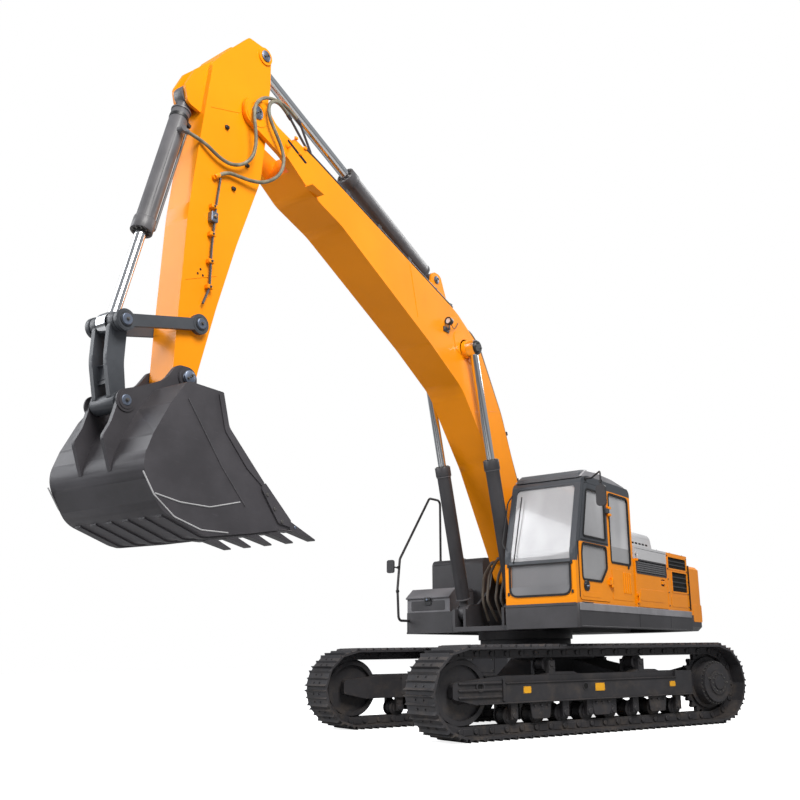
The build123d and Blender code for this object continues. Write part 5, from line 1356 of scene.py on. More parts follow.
@dataclass
class House:
    """Panels, grilles and fittings of the machine house, hood and counterweight."""

    side: float = 1.47
    roof: float = 2.335
    hood_top: float = 2.72
    hood_foot: float = 2.341
    hood: Spot = (-2.48, -1.27)
    hood_half: float = 0.96
    tail_top: float = 2.2

    @staticmethod
    def _mesh(form: Form, low: Point, high: Point, pitch: float) -> None:
        """Wire grid in an upright panel that faces left or right, on a dark backing.

        Args:
            form: the piece it belongs to.
            low: lowest corner.
            high: highest corner.
            pitch: distance between two wires.
        """
        form.box(SHADOW, low, high, 0.0)
        sign = 1.0 if high[1] > 0 else -1.0
        face = high[1] if high[1] > 0 else low[1]
        for axis in (0, 2):
            count = max(2, round((high[axis] - low[axis]) / pitch))
            for i in range(1, count):
                start, end = list(low), list(high)
                start[axis] = low[axis] + (high[axis] - low[axis]) * i / count - 0.002
                end[axis] = start[axis] + 0.004
                start[1], end[1] = face - sign * 0.001, face + sign * 0.003
                form.box(MESH_WIRE, start, end, 0.0)

    def left_door(self) -> None:
        """Louvre with its frame, handle, lock and pressed panel of the left side door."""
        form = Form("left_door_trim")
        y = self.side
        form.surround(DECK_GREY, panel(-1.6, 1.975, -0.5, 2.145, 0.012), 0.004, 0.014,
                      y - 0.003, y + 0.005)
        form.box(SHADOW, (-1.596, y - 0.0135, 1.979), (-0.504, y - 0.012, 2.141), 0.0)
        for i in range(1, 8):
            x = -1.6 + 1.1 * i / 8
            form.box(DECK_GREY, (x - 0.003, y - 0.012, 1.98), (x + 0.003, y - 0.002, 2.14), 0.001)
        # Dark plate behind the handle: painted shade of the handle's recess.
        form.plate(BLACK_STEEL, panel(-1.53, 1.84, -1.392, 1.925, 0.018), y - 0.018,
                   y - 0.015, edge=0.0)
        form.bar(ORANGE, (-1.515, y - 0.006, 1.885), (-1.41, y - 0.006, 1.885), 0.03, 0.05, 0.006)
        form.disc(PIN_STEEL, (-1.4, y - 0.015, 1.858), LEFT, 0.008, 0.008, 0.002, 12)
        form.plate(ORANGE, panel(-1.5, 1.6, -0.58, 1.76, 0.05), y - 0.001, y + 0.0035, edge=0.003)
        form.done("side_door_left")

    def right_door(self) -> None:
        """Grille and handle of the right side door."""
        form = Form("right_door_trim")
        y = -self.side
        self._mesh(form, (-2.4, y - 0.002, 1.72), (-1.78, y + 0.001, 2.2), 0.024)
        form.surround(ORANGE, panel(-2.4, 1.72, -1.78, 2.2, 0.02), 0.006, 0.02, y - 0.009,
                      y + 0.001)
        form.bar(BLACK_STEEL, (-2.38, y + 0.004, 1.66), (-2.29, y + 0.004, 1.66), 0.02, 0.02,
                 0.004)
        form.done("side_door_right")

    def walls(self) -> None:
        """Rear grilles, pressed panel, bolts, and the roof's plates and slots."""
        form = Form("house_details")
        y = self.side
        for x0, x1, z0, z1, bars in ((-2.44, -1.83, 1.785, 2.065, 3),
                                     (-2.44, -1.7, 2.115, 2.275, 2)):
            step = (z1 - z0) / (bars + 1)
            for row in range(bars + 1):
                low = z0 + row * step + (0.009 if row else 0.0)
                high = z0 + (row + 1) * step - (0.009 if row < bars else 0.0)
                self._mesh(form, (x0 + 0.002, y - 0.014, low), (x1 - 0.002, y - 0.0115, high),
                           0.018)
            form.surround(ORANGE, panel(x0, z0, x1, z1, 0.012), 0.0, 0.022, y - 0.001, y + 0.006)
        form.plate(ORANGE, panel(-2.44, 1.56, -1.75, 1.73, 0.04), y - 0.001, y + 0.004, edge=0.003)
        for x in (-2.47, -1.66):
            form.bolts(BOLT_DARK, [(x, y, z) for z in (1.57, 1.76, 1.95, 2.1, 2.29)], LEFT, 0.008)
        for side in SIGNS:
            form.box(LIGHT_GREY, (-2.5, side * 0.99, self.roof - 0.001),
                     (-1.3, side * 1.46, self.roof + 0.006), 0.003)
            for x in (-2.42, -1.9, -1.38):
                form.bolts(BOLT_DARK, [(x, side * 1.02, self.roof + 0.006),
                                       (x, side * 1.43, self.roof + 0.006)], UP, 0.008)
        for i in range(12):
            x = -1.18 + 0.055 * i
            form.box(SHADOW, (x, 1.05, self.roof), (x + 0.022, 1.36, self.roof + 0.0015), 0.0)
        form.done("upper")

    def hood_trim(self) -> None:
        """Slots with their lips, edge strips, ribs and latch of the hood."""
        form = Form("hood_trim")
        x0, x1 = self.hood
        for side in SIGNS:
            out = (0.0, side, 0.156)
            for z in (2.43, 2.53):
                for i in range(7):
                    x = x0 + 0.16 + 0.135 * i
                    y = side * (self.hood_half - (z - self.hood_foot) * 0.158)
                    place = on((x + 0.045, y, z), out)
                    form.box(SHADOW, (-0.045, -0.014, -0.002), (0.045, 0.014, 0.0012), 0.0,
                             [place])
                    form.box(LIGHT_GREY, (-0.047, 0.012, -0.003), (0.047, 0.019, 0.006), 0.002,
                             [place])
            form.box(LIGHT_GREY, (x0 + 0.02, side * 0.955, 2.343),
                     (x1 - 0.02, side * 0.967, 2.362), 0.002)
        for i in range(5):
            x = x0 + 0.22 + 0.19 * i
            form.box(LIGHT_GREY, (x, -0.72, self.hood_top - 0.002),
                     (x + 0.05, 0.72, self.hood_top + 0.009), 0.004)
        for i in range(9):
            y = -0.68 + 0.17 * i
            for x, z in ((x0 - 0.0012, 2.43), (x0 - 0.0012, 2.5), (x1 - 0.001, 2.5)):
                form.box(SHADOW, (x, y - 0.055, z), (x + 0.0022, y + 0.055, z + 0.022), 0.0)
        form.pipe(BLACK_STEEL, [(x0, -0.1, 2.385), (x0 - 0.03, -0.1, 2.385),
                                (x0 - 0.03, 0.1, 2.385), (x0, 0.1, 2.385)], 0.009, 0.02)
        form.done("engine_hood")

    def tail(self) -> None:
        """Lifting eyes, plugs, panels, seams, reflectors and cover of the counterweight."""
        form = Form("tail_details")
        for y in (-0.9, 0.9):
            form.box(DECK_GREY, (-3.1, y - 0.09, self.tail_top - 0.002),
                     (-2.88, y + 0.09, self.tail_top + 0.012), 0.005)
            form.pipe(DECK_GREY, [(-3.06, y, self.tail_top), (-3.06, y, self.tail_top + 0.11),
                                  (-2.92, y, self.tail_top + 0.11), (-2.92, y, self.tail_top)],
                      0.018, 0.06)
        for y in (-0.5, 0.5):
            form.disc(DECK_GREY, (-2.75, y, self.tail_top - 0.002), UP, 0.06, 0.022, 0.006)
            form.bolts(BOLT_DARK, [(-2.75, y, self.tail_top + 0.02)], UP, 0.026)
        for side in SIGNS:
            form.plate(ORANGE, panel(-2.98, 1.36, -2.6, 1.62, 0.03), side * 1.489, side * 1.4935,
                       edge=0.002)
            form.box(SHADOW, (-2.524, side * 1.471, 1.53),
                     (-2.516, side * 1.4905, self.tail_top), 0.0)
        for y in (-0.35, 0.35):
            form.plate(REFLECTOR, panel(y - 0.13, 1.82, y + 0.13, 1.87, 0.01), -3.44, -3.43,
                       Axis.X, 0.002)
        form.plate(DECK_GREY, panel(-0.42, 1.33, 0.42, 1.6, 0.03), -3.442, -3.43, Axis.X, 0.003)
        form.bolts(BOLT_DARK, [(-3.442, y, z) for y in (-0.38, 0.0, 0.38) for z in (1.365, 1.565)],
                   BACK, 0.012)
        form.done("upper")

    def make(self) -> None:
        """Builds all of it."""
        self.left_door()
        self.right_door()
        self.walls()
        self.hood_trim()
        self.tail()


@dataclass
class WorkingArm:
    """Pins, welds, lines and fittings of the boom, the arm, its cylinders and the bucket."""

    boom_half: float = 0.255
    arm_half: float = 0.15
    cylinder_foot: Spot = (0.93, 1.46)
    eye: Spot = (1.81, 4.735)
    arm_foot: Spot = (2.22, 5.6)
    tip: Spot = (5.555, 6.225)
    tail: Spot = (5.43, 6.96)
    bucket_cylinder: Spot = (6.28, 6.08)
    rocker: Spot = (6.13, 3.81)
    link: Spot = (6.905, 3.62)
    bucket: Spot = (6.25, 3.283)
    tipping: Spot = (6.85, 2.95)

    @staticmethod
    def _pin_head(form: Form, spot: Spot, half: float, radius: float) -> None:
        """Pin head with its keeper bolts and grease point.

        Args:
            form: the piece it belongs to.
            spot: the pivot.
            half: distance from the middle.
            radius: the pin's radius.
        """
        x, z = spot
        form.lathe(PIN_STEEL, [(-0.004, 0.0), (-0.004, radius), (0.01, radius),
                               (0.014, radius - 0.006), (0.014, 0.0)],
                   (x, half, z), LEFT, 24, BOTH)
        form.bolts(BOLT_STEEL, [(x - radius * 0.35, half + 0.012, z + radius * 0.3),
                                (x + radius * 0.4, half + 0.012, z - radius * 0.3)], LEFT,
                   0.011, BOTH)
        form.disc(BOLT_STEEL, (x, half + 0.013, z), LEFT, 0.009, 0.012, 0.003, 10, BOTH)

    def boom_steel(self) -> None:
        """Pin heads, welds, doubler plates, lugs and slots of the boom."""
        form = Form("boom_details")
        half = self.boom_half
        x, z = self.eye
        form.disc(BLACK_STEEL, (x, 0.428, z), LEFT, 0.088, 0.03, 0.012, 28, BOTH)
        form.bolt_ring(BOLT_DARK, (x, 0.457, z), LEFT, 0.058, 4, 0.009, BOTH)
        form.ring(ORANGE, (x, half, z), LEFT, 0.11, 0.135, 0.006, 32, BOTH)
        self._pin_head(form, self.tip, 0.205, 0.072)
        form.ring(ORANGE, (self.tip[0], 0.2, self.tip[1]), LEFT, 0.1, 0.15, 0.01, 32, BOTH)
        self._pin_head(form, self.arm_foot, 0.094, 0.05)
        form.plate(ORANGE, [(4.703, 5.646), (4.883, 5.686), (4.883, 5.696), (4.703, 5.656)],
                   half - 0.01, half + 0.1, edge=0.003)
        form.weld(ORANGE, [(3.02, half, 5.49), (2.86, half, 4.86)], 0.004, BOTH)
        form.weld(ORANGE, [(1.05, half, 4.08), (1.62, half, 3.95)], 0.004, BOTH)
        form.plate(ORANGE, [(1.6, 4.55, 0.1), (2.03, 4.68, 0.1), (2.1, 4.9, 0.1), (1.9, 4.98, 0.1),
                            (1.58, 4.78, 0.1)], half - 0.001, half + 0.006, edge=0.003,
                   places=BOTH)
        form.plate(ORANGE, [(0.1, 2.12, 0.06), (0.34, 2.16, 0.06), (0.42, 2.5, 0.1),
                            (0.33, 2.5, 0.1)], half - 0.001, half + 0.005, edge=0.002, places=BOTH)
        for x, z in ((5.05, 6.17), (4.91, 6.12), (4.98, 6.02)):
            form.box(ORANGE, (x - 0.02, half - 0.002, z - 0.014),
                     (x + 0.02, half + 0.02, z + 0.014), 0.003, BOTH)
        form.plate(SHADOW, [(4.86, 5.97, 0.012), (5.16, 6.11, 0.012), (5.17, 6.08, 0.012),
                            (4.9, 5.95, 0.012)], half - 0.0005, half + 0.001, edge=0.0,
                   places=BOTH)
        for x in (3.081, 4.312):
            z = self._back(x)
            form.box(ORANGE, (x - 0.05, -0.02, z - 0.01), (x + 0.05, 0.16, z + 0.05), 0.006)
            form.bolts(BOLT_DARK, [(x, 0.03, z + 0.05), (x, 0.12, z + 0.05)], (-0.3, 0, 0.95),
                       0.01)
        form.done("boom")

    @staticmethod
    def _back(x: float) -> float:
        """Height of the boom's top plate over a place on its fore half."""
        return 5.19 + (x - 2.0) * (0.87 / 2.7)

    def boom_lines(self) -> None:
        """Steel lines along the boom's top, with their clamps and end fittings."""
        form = Form("boom_lines")
        for y in (0.05, 0.1, -0.1, -0.16, -0.2):
            form.pipe(LINE_STEEL, [(1.72, y, 4.98), (2.08, y, 5.23), (3.4, y, 5.681),
                                   (4.62, y, 6.074)], 0.012, 0.12)
        for x, z in ((2.444, 5.378), (2.105, 5.274)):
            form.box(BLACK_STEEL, (x - 0.035, -0.22, z - 0.04), (x + 0.035, 0.24, z + 0.012),
                     0.006)
        for x in (2.7, 3.3, 4.0, 4.55):
            z = self._back(x)
            form.box(BLACK_STEEL, (x - 0.022, -0.225, z - 0.002), (x + 0.022, -0.075, z + 0.062),
                     0.005)
            form.box(BLACK_STEEL, (x - 0.022, 0.03, z - 0.002), (x + 0.022, 0.12, z + 0.062),
                     0.005)
        for y in (-0.1, -0.16, -0.2):
            form.pipe(LINE_STEEL, [(4.6, y, 6.068), (4.72, y, 6.118), (4.79, y, 6.06)], 0.012,
                      0.05)
            form.disc(BRASS, (4.56, y, 6.054), (0.95, 0, 0.31), 0.02, 0.045, 0.004, 8)
        form.done("boom")

    def foot_hoses(self) -> None:
        """Hoses from the deck to the boom, behind its foot and before it."""
        form = Form("foot_hoses")
        lanes = (0.2, 0.15, 0.1, 0.05, -0.05, -0.1, -0.15, -0.2)
        for i, (y, off) in enumerate(zip(lanes, (0.0, 0.035, -0.01, 0.03) * 2)):
            root = -0.5 - 0.06 * (i % 2)
            form.pipe(RUBBER, [(root, y * 0.88, 1.98), (root - 0.02, y * 0.88, 2.25 + off),
                               (-0.3 - off, y * 0.9, 2.55 + off),
                               (0.06 - off, y * 0.9, 2.74 + off), (0.31 - off * 0.3, y, 2.93),
                               (0.615 - off * 0.3, y, 3.53), (0.86 - off * 0.3, y, 4.08),
                               (1.4, y, 4.925), (1.6, y, 5.04), (1.76, y, 5.06)], 0.017, 0.16)
        form.done("boom", ("upper", (-0.5, 0.0, 2.05), (0.1, 0.0, 2.85)))
        form = Form("front_hoses")
        for y, off in ((-0.16, 0.0), (-0.06, 0.05), (0.05, 0.02), (0.15, 0.06)):
            form.pipe(RUBBER, [(0.7 - off, y, 1.36), (0.84 + off, y, 1.62),
                               (0.76 + off, y * 1.15, 1.93), (0.62, y, 2.1 + off),
                               (0.46, y, 2.16 + off)], 0.018, 0.12)
            form.disc(PIN_STEEL, (0.58, y, 2.12 + off), (-0.95, 0, 0.3), 0.026, 0.06, 0.004, 8)
        form.done("boom", ("upper", (0.6, 0.0, 1.55), (0.47, 0.0, 2.14)))

    def foot_clamps(self) -> None:
        """Bars that hold the foot hoses on the boom's back."""
        form = Form("foot_clamps")
        for x, z in ((0.543, 3.2), (0.816, 3.8)):
            back = [(x - 0.0104, z - 0.0228), (x + 0.0104, z + 0.0228), (x - 0.086, z + 0.0668),
                    (x - 0.1068, z + 0.0212)]
            form.plate(BLACK_STEEL, back, -0.226, 0.226, edge=0.004)
        form.done("boom")

    def lamp(self) -> None:
        """Lens, rim and wire of the boom's work lamp."""
        form = Form("boom_lamp_lens")
        form.disc(LENS, (2.278, 0.31, 4.982), AHEAD, 0.037, 0.006, 0.002, 24)
        form.ring(BLACK_STEEL, (2.284, 0.31, 4.982), AHEAD, 0.036, 0.049, 0.008, 24)
        form.pipe(RUBBER, [(2.23, 0.31, 4.97), (2.14, 0.285, 4.93), (2.05, 0.262, 4.96),
                           (1.98, 0.262, 5.05)], 0.005, 0.05)
        form.done("boom")

    def arm_steel(self) -> None:
        """Pin heads, steel lines with clamps and valve, lugs, welds and holes of the arm."""
        form = Form("arm_details")
        half = self.arm_half
        self._pin_head(form, self.tail, half + 0.014, 0.06)
        self._pin_head(form, self.bucket, half + 0.09, 0.058)
        form.pipe(LINE_STEEL, [(5.965, half + 0.028, 5.32), (6.0, half + 0.03, 5.05),
                               (6.03, half + 0.03, 4.6), (6.03, half + 0.03, 4.2),
                               (6.1, half + 0.03, 4.02)], 0.011, 0.08)
        for z in (5.0, 4.72, 4.45, 4.2):
            form.box(ORANGE, (6.0, half - 0.002, z - 0.02), (6.066, half + 0.05, z + 0.02), 0.005)
            form.bolts(BOLT_STEEL, [(6.033, half + 0.05, z)], LEFT, 0.009)
        form.box(PIN_STEEL, (5.99, half - 0.002, 4.84), (6.07, half + 0.06, 4.94), 0.008)
        form.disc(BRASS, (6.03, half + 0.06, 4.89), LEFT, 0.018, 0.02, 0.004, 8)
        for x, z in ((5.78, 5.3), (5.9, 5.9), (5.62, 5.62)):
            form.box(BLACK_STEEL, (x - 0.022, half - 0.002, z - 0.016),
                     (x + 0.022, half + 0.026, z + 0.016), 0.004)
        form.weld(ORANGE, [(5.45, half, 6.46), (5.75, half, 6.14), (6.1, half, 6.02)], 0.004, BOTH)
        form.weld(ORANGE, [(5.93, half, 4.35), (6.28, half, 4.2)], 0.004, BOTH)
        form.plate(ORANGE, [(5.42, 6.12, 0.1), (5.6, 6.02, 0.1), (5.74, 6.2, 0.12),
                            (5.6, 6.42, 0.12), (5.42, 6.38, 0.1)], half - 0.001, half + 0.005,
                   edge=0.003, places=BOTH)
        for dx, dz in ((-0.03, 0.0), (0.03, 0.0), (0.0, 0.05)):
            form.disc(SHADOW, (6.12 + dx, half, 4.3 + dz), LEFT, 0.012, 0.0012, 0.0, 12, BOTH)
        form.disc(ORANGE, (self.rocker[0], half - 0.004, self.rocker[1]), LEFT, 0.1, 0.01,
                  0.003, 28, BOTH)
        for y in (-0.09, -0.05):
            form.pipe(LINE_STEEL, [(5.62, -half - 0.02, 5.75), (5.72, -half - 0.02, 5.3 + y),
                                   (5.86, -half - 0.02, 4.6 + y)], 0.011, 0.1)
        form.done("arm")

    def _cylinder(self, name: str, body: str, foot: Spot,
                  eye: Spot, radius: float, length: float, rod: float,
                  lanes: Iterable[float], above: float, bands: Iterable[float] = ()) -> None:
        """Gland bolts, wiper, straps, oil line and ports of a cylinder's barrel.

        Args:
            name: name of the piece.
            body: the CAD body.
            foot: pivot of the barrel.
            eye: pivot of the rod.
            radius: the barrel's radius.
            length: foot pivot to the gland's face.
            rod: the rod's radius.
            lanes: sideways places of the barrels.
            above: side of the oil line, 1 for the upper or front one and -1 for the other.
            bands: shares of the length at which a clamp band goes round.
        """
        form = Form(name)
        ahead = Vector((eye[0] - foot[0], 0.0, eye[1] - foot[1])).normalized()
        side = Vector((-ahead.z, 0.0, ahead.x)) * above
        for lane in lanes:
            start = Vector((foot[0], lane, foot[1]))

            def at(along: float, out: float = 0.0, across: float = 0.0) -> Vector:
                """Point beside the barrel's axis."""
                return start + ahead * along + side * out + Vector((0.0, across, 0.0))

            end = at(length)
            form.bolt_ring(BOLT_STEEL, end, ahead, radius - 0.014, 10, 0.0095)
            form.lathe(SEAL, [(0.0, rod + 0.0012), (0.0, rod + 0.018), (0.01, rod + 0.014),
                              (0.014, rod + 0.0012), (0.0, rod + 0.0012)], end, ahead, 28)
            form.ring(BARREL_GREY, at(length - 0.135), ahead, radius, radius + 0.009, 0.012, 32)
            form.ring(BARREL_GREY, at(0.18), ahead, radius, radius + 0.007, 0.014, 32)
            for share in bands:
                form.ring(BLACK_STEEL, at(length * share), ahead, radius, radius + 0.004, 0.034,
                          32)
                low = at(length * share + 0.017, radius - 0.004)
                form.bar(BLACK_STEEL, low, low + side * 0.05, 0.06, 0.034, 0.004)
            form.pipe(LINE_STEEL, [at(0.24, radius - 0.01), at(0.24, radius + 0.032),
                                   at(length - 0.09, radius + 0.032),
                                   at(length - 0.09, radius - 0.01)], 0.012, 0.05)
            form.disc(PIN_STEEL, at(0.24, radius - 0.006), side, 0.026, 0.016, 0.004, 12)
            form.disc(PIN_STEEL, at(length - 0.09, radius - 0.002), side, 0.026, 0.024, 0.004, 12)
            form.disc(BOLT_STEEL, at(0.0, 0.0, 0.055), LEFT, 0.062, 0.004, 0.002, 24)
        form.done(body)

    def cylinders(self) -> None:
        """The three kinds of cylinder."""
        self._cylinder("boom_cylinder_details", "boom_barrels", self.cylinder_foot, self.eye,
                       0.09, 1.94, 0.052, (-0.372, 0.372), 1.0)
        self._cylinder("arm_cylinder_details", "arm_barrel", self.arm_foot, self.tail,
                       0.1, 1.87, 0.058, (0.0,), 1.0)
        self._cylinder("bucket_cylinder_details", "bucket_barrel", self.bucket_cylinder,
                       self.link, 0.085, 1.584, 0.048, (0.0,), -1.0, (0.16,))

    def linkage(self) -> None:
        """Caps and collars of the rocking levers, and welds of the tipping link."""
        form = Form("lever_details")
        for x, z in (self.rocker, self.link):
            form.disc(PIN_STEEL, (x, 0.217, z), LEFT, 0.05, 0.012, 0.005, 24, BOTH)
            form.bolts(BOLT_STEEL, [(x, 0.228, z)], LEFT, 0.012, BOTH)
            form.ring(LINK_GREY, (x, 0.202, z), LEFT, 0.062, 0.082, 0.006, 28, BOTH)
        form.done("rocker")
        form = Form("tipping_link_details")
        x, z = self.tipping
        form.ring(LINK_GREY, (x, 0.146, z), LEFT, 0.05, 0.078, 0.004, 28, BOTH)
        for share in (0.28, 0.46):
            spot = Vector(self.tipping).lerp(Vector(self.link), share)
            form.weld(LINK_GREY, [(spot.x + 0.06, y, spot.y) for y in (-0.07, 0.07)], 0.007)
        form.done("tipping_link")

    def bucket_parts(self) -> None:
        """Cutter bolts, welds, tooth adapters with their pins, and the ears' pin heads."""
        form = Form("bucket_details")
        side = 0.59
        form.bolts(BOLT_STEEL, [(5.45, side, 2.088), (5.545, side, 2.19), (5.64, side, 2.305)],
                   LEFT, 0.017, BOTH)
        weld = ((6.821, 2.16), (6.576, 2.122), (6.268, 2.12), (5.942, 2.202))
        form.weld(BEAD, [(x, side + 0.001, z) for x, z in weld], 0.006, BOTH)
        crease = ((6.551, 2.968), (6.163, 2.469), (5.882, 2.171))
        form.weld(BUCKET_GREY, [(x, side + 0.001, z) for x, z in crease], 0.005, BOTH)
        seam = ((6.953, 2.302), (6.837, 2.135), (6.634, 1.99), (6.357, 1.915), (6.071, 1.92))
        form.weld(BEAD, [(x - 0.01, side + 0.001, z + 0.012) for x, z in seam], 0.006, BOTH)
        for i in range(5):
            y = -0.5425 + 0.27125 * i
            form.box(BUCKET_GREY, (5.3, y - 0.058, 2.012), (5.47, y + 0.058, 2.028), 0.006)
            for out in (1.0, -1.0):
                form.disc(PIN_STEEL, (5.262, y + out * 0.047, 2.058), (0.0, out, 0.0), 0.014,
                          0.006, 0.002, 12)
        for x, z in (self.bucket, self.tipping):
            form.ring(BUCKET_GREY, (x, 0.197, z), LEFT, 0.05, 0.095, 0.012, 28, BOTH)
            form.disc(PIN_STEEL, (x, 0.197, z), LEFT, 0.048, 0.022, 0.006, 24, BOTH)
            form.bolts(BOLT_STEEL, [(x, 0.218, z)], LEFT, 0.013, BOTH)
        form.done("bucket")

    def make(self) -> None:
        """Builds all of it."""
        self.boom_steel()
        self.boom_lines()
        self.foot_hoses()
        self.foot_clamps()
        self.lamp()
        self.arm_steel()
        self.cylinders()
        self.linkage()
        self.bucket_parts()


@dataclass
class Deck:
    """Skirts, tool box, tanks, fittings, rails and exhaust on the deck."""

    top: float = 1.507
    foot: float = 1.222
    half: float = 1.49
    left_front: float = 1.371
    tank_side: float = -1.47
    tank_top: float = 2.335
    cylinder_foot: Spot = (0.93, 1.46)
    motor: Point = (-0.18, 0.0, 1.828)
    exhaust_pipe: Spot = (-2.15, -1.18)

    def skirts(self) -> None:
        """Lips and seams of the deck's sides, pale strips of painted highlight along their top
        edges, and the tread on its front.
        """
        form = Form("deck_details")
        form.box(DECK_GREY, (-2.5, self.half - 0.004, self.foot + 0.002),
                 (0.7, self.half + 0.006, self.foot + 0.022), 0.004, BOTH)
        form.box(DECK_GREY, (0.7, self.half - 0.004, self.foot + 0.002),
                 (self.left_front - 0.04, self.half + 0.006, self.foot + 0.022), 0.004)
        form.box(DECK_GREY, (self.left_front - 0.004, 0.5, self.top - 0.03),
                 (self.left_front + 0.006, self.half - 0.04, self.top + 0.004), 0.004)
        for x in (-1.62, -0.46):
            form.box(SHADOW, (x - 0.003, self.half, self.foot + 0.022),
                     (x + 0.003, self.half + 0.0012, self.top - 0.03), 0.0, BOTH)
        # Pale strips along the top of both sides: painted highlight of the deck's rounded top
        # edges.
        form.box(RIM_GREY_AND_HIGHLIGHT, (-2.5, self.half - 0.003, 1.418),
                 (self.left_front - 0.01, self.half + 0.007, self.top + 0.002), 0.005)
        form.box(RIM_GREY_AND_HIGHLIGHT, (-2.5, 0.003 - self.half, 1.418),
                 (0.69, -self.half - 0.007, self.top + 0.002), 0.005)
        for i in range(10):
            for j in range(5):
                form.bar(DECK_GREY, (0.2 + 0.055 * i, -1.42 + 0.03 * j, self.top + 0.001),
                         (0.225 + 0.055 * i, -1.405 + 0.03 * j, self.top + 0.001), 0.006, 0.003,
                         0.0)
        form.done("upper")

    def box_trim(self) -> None:
        """Latch and tread of the tool box's lid, and the box's pressed panels and lock."""
        form = Form("lid_details")
        form.box(BLACK_STEEL, (0.735, -1.16, 1.66), (0.75, -1.06, 1.705), 0.004)
        form.disc(PIN_STEEL, (0.75, -1.11, 1.675), AHEAD, 0.014, 0.01, 0.003, 14)
        for i in range(6):
            form.bar(DECK_GREY, (0.2 + 0.055 * i, -1.4, 1.833), (0.2 + 0.055 * i, -0.82, 1.833),
                     0.014, 0.005, 0.001)
        form.done("tool_box_lid")
        form = Form("tool_box_details")
        form.plate(DECK_GREY, panel(-1.4, 1.53, -0.84, 1.66, 0.02), 0.711, 0.716, Axis.X, 0.002)
        form.plate(BLACK_STEEL, panel(-1.16, 1.6, -1.06, 1.66, 0.01), 0.715, 0.73, Axis.X, 0.003)
        form.plate(DECK_GREY, panel(0.14, 1.54, 0.5, 1.76, 0.03), -1.473, -1.469, edge=0.002)
        form.done("upper")

    def tanks(self) -> None:
        """Caps, cover, seam, straps, gauge, bolts and tread of the two tanks."""
        form = Form("tank_details")
        form.lathe(BLACK_STEEL, [(-0.002, 0.0), (-0.002, 0.075), (0.03, 0.075), (0.045, 0.06),
                                 (0.055, 0.0)], (-0.3, -1.2, 2.275), UP, 16)
        form.box(BLACK_STEEL, (-0.34, -1.215, 2.32), (-0.26, -1.185, 2.342), 0.006)
        form.bolt_ring(BOLT_STEEL, (-1.11, -1.18, 2.379), UP, 0.085, 8, 0.009)
        form.lathe(BLACK_STEEL, [(0.0, 0.0), (0.0, 0.05), (0.05, 0.05), (0.06, 0.035),
                                 (0.06, 0.0)], (-0.95, -0.8, self.tank_top), UP, 18)
        y = self.tank_side
        form.box(SEAL, (-0.7655, y + 0.002, 1.55), (-0.7605, -0.62, 2.27), 0.001)
        for z in (1.75, 2.05):
            form.box(BLACK_STEEL, (-0.66, y - 0.005, z - 0.02), (0.05, y + 0.001, z + 0.02), 0.002)
        form.disc(LENS, (-1.45, y, 1.9), RIGHT, 0.03, 0.008, 0.003)
        form.box(LENS, (-1.2, y - 0.006, 1.75), (-1.17, y + 0.001, 1.95), 0.003)
        for x in (-1.55, -0.82):
            form.bolts(BOLT_DARK, [(x, y, z) for z in (1.58, 1.85, 2.12, 2.28)], RIGHT, 0.009)
        for i in range(8):
            y = -1.4 + 0.09 * i
            form.bar(DECK_GREY, (-1.52, y, self.tank_top + 0.002),
                     (-1.3, y, self.tank_top + 0.002), 0.012, 0.005, 0.001)
        form.box(DECK_GREY, (0.0, -1.44, 2.2), (0.096, -1.1, 2.215), 0.004)
        form.done("upper")

    def fittings(self) -> None:
        """Fittings of the valve block, the slew motor, and pin heads of the boom's foot."""
        form = Form("deck_hoses")
        for i, y in enumerate((0.176, 0.132, 0.088, 0.044, -0.044, -0.088, -0.132, -0.176)):
            form.disc(BRASS, (-0.5 - 0.06 * (i % 2), y, 1.958), UP, 0.02, 0.04, 0.004, 8)
        for i in range(5):
            x = -1.05 + 0.12 * i
            for side in (1.0, -1.0):
                form.disc(BOLT_STEEL, (x, side * 0.224, 1.8), (0.0, side, 0.0), 0.03, 0.03, 0.004,
                          6)
            form.box(PIN_STEEL, (x - 0.045, -0.18, 1.958), (x + 0.045, 0.18, 1.985), 0.006)
        form.lathe(BLACK_STEEL, [(0.0, 0.0), (0.0, 0.1), (0.08, 0.1), (0.11, 0.06), (0.11, 0.0)],
                   self.motor, UP, 24)
        form.bolt_ring(BOLT_STEEL, self.motor, UP, 0.118, 8, 0.008)
        form.lathe(BLACK_STEEL, [(0.0, 0.0), (0.0, 0.07), (0.016, 0.066), (0.02, 0.0)],
                   (0.2, 0.312, 1.98), LEFT, 24, BOTH)
        form.bolts(BOLT_STEEL, [(0.17, 0.33, 2.0), (0.23, 0.33, 1.96)], LEFT, 0.011, BOTH)
        x, z = self.cylinder_foot
        form.disc(PIN_STEEL, (x, 0.462, z), LEFT, 0.048, 0.014, 0.005, 24, BOTH)
        form.bolts(BOLT_STEEL, [(x, 0.474, z)], LEFT, 0.012, BOTH)
        form.ring(DECK_GREY, (x, 0.458, z), LEFT, 0.052, 0.085, 0.008, 28, BOTH)
        form.done("upper")

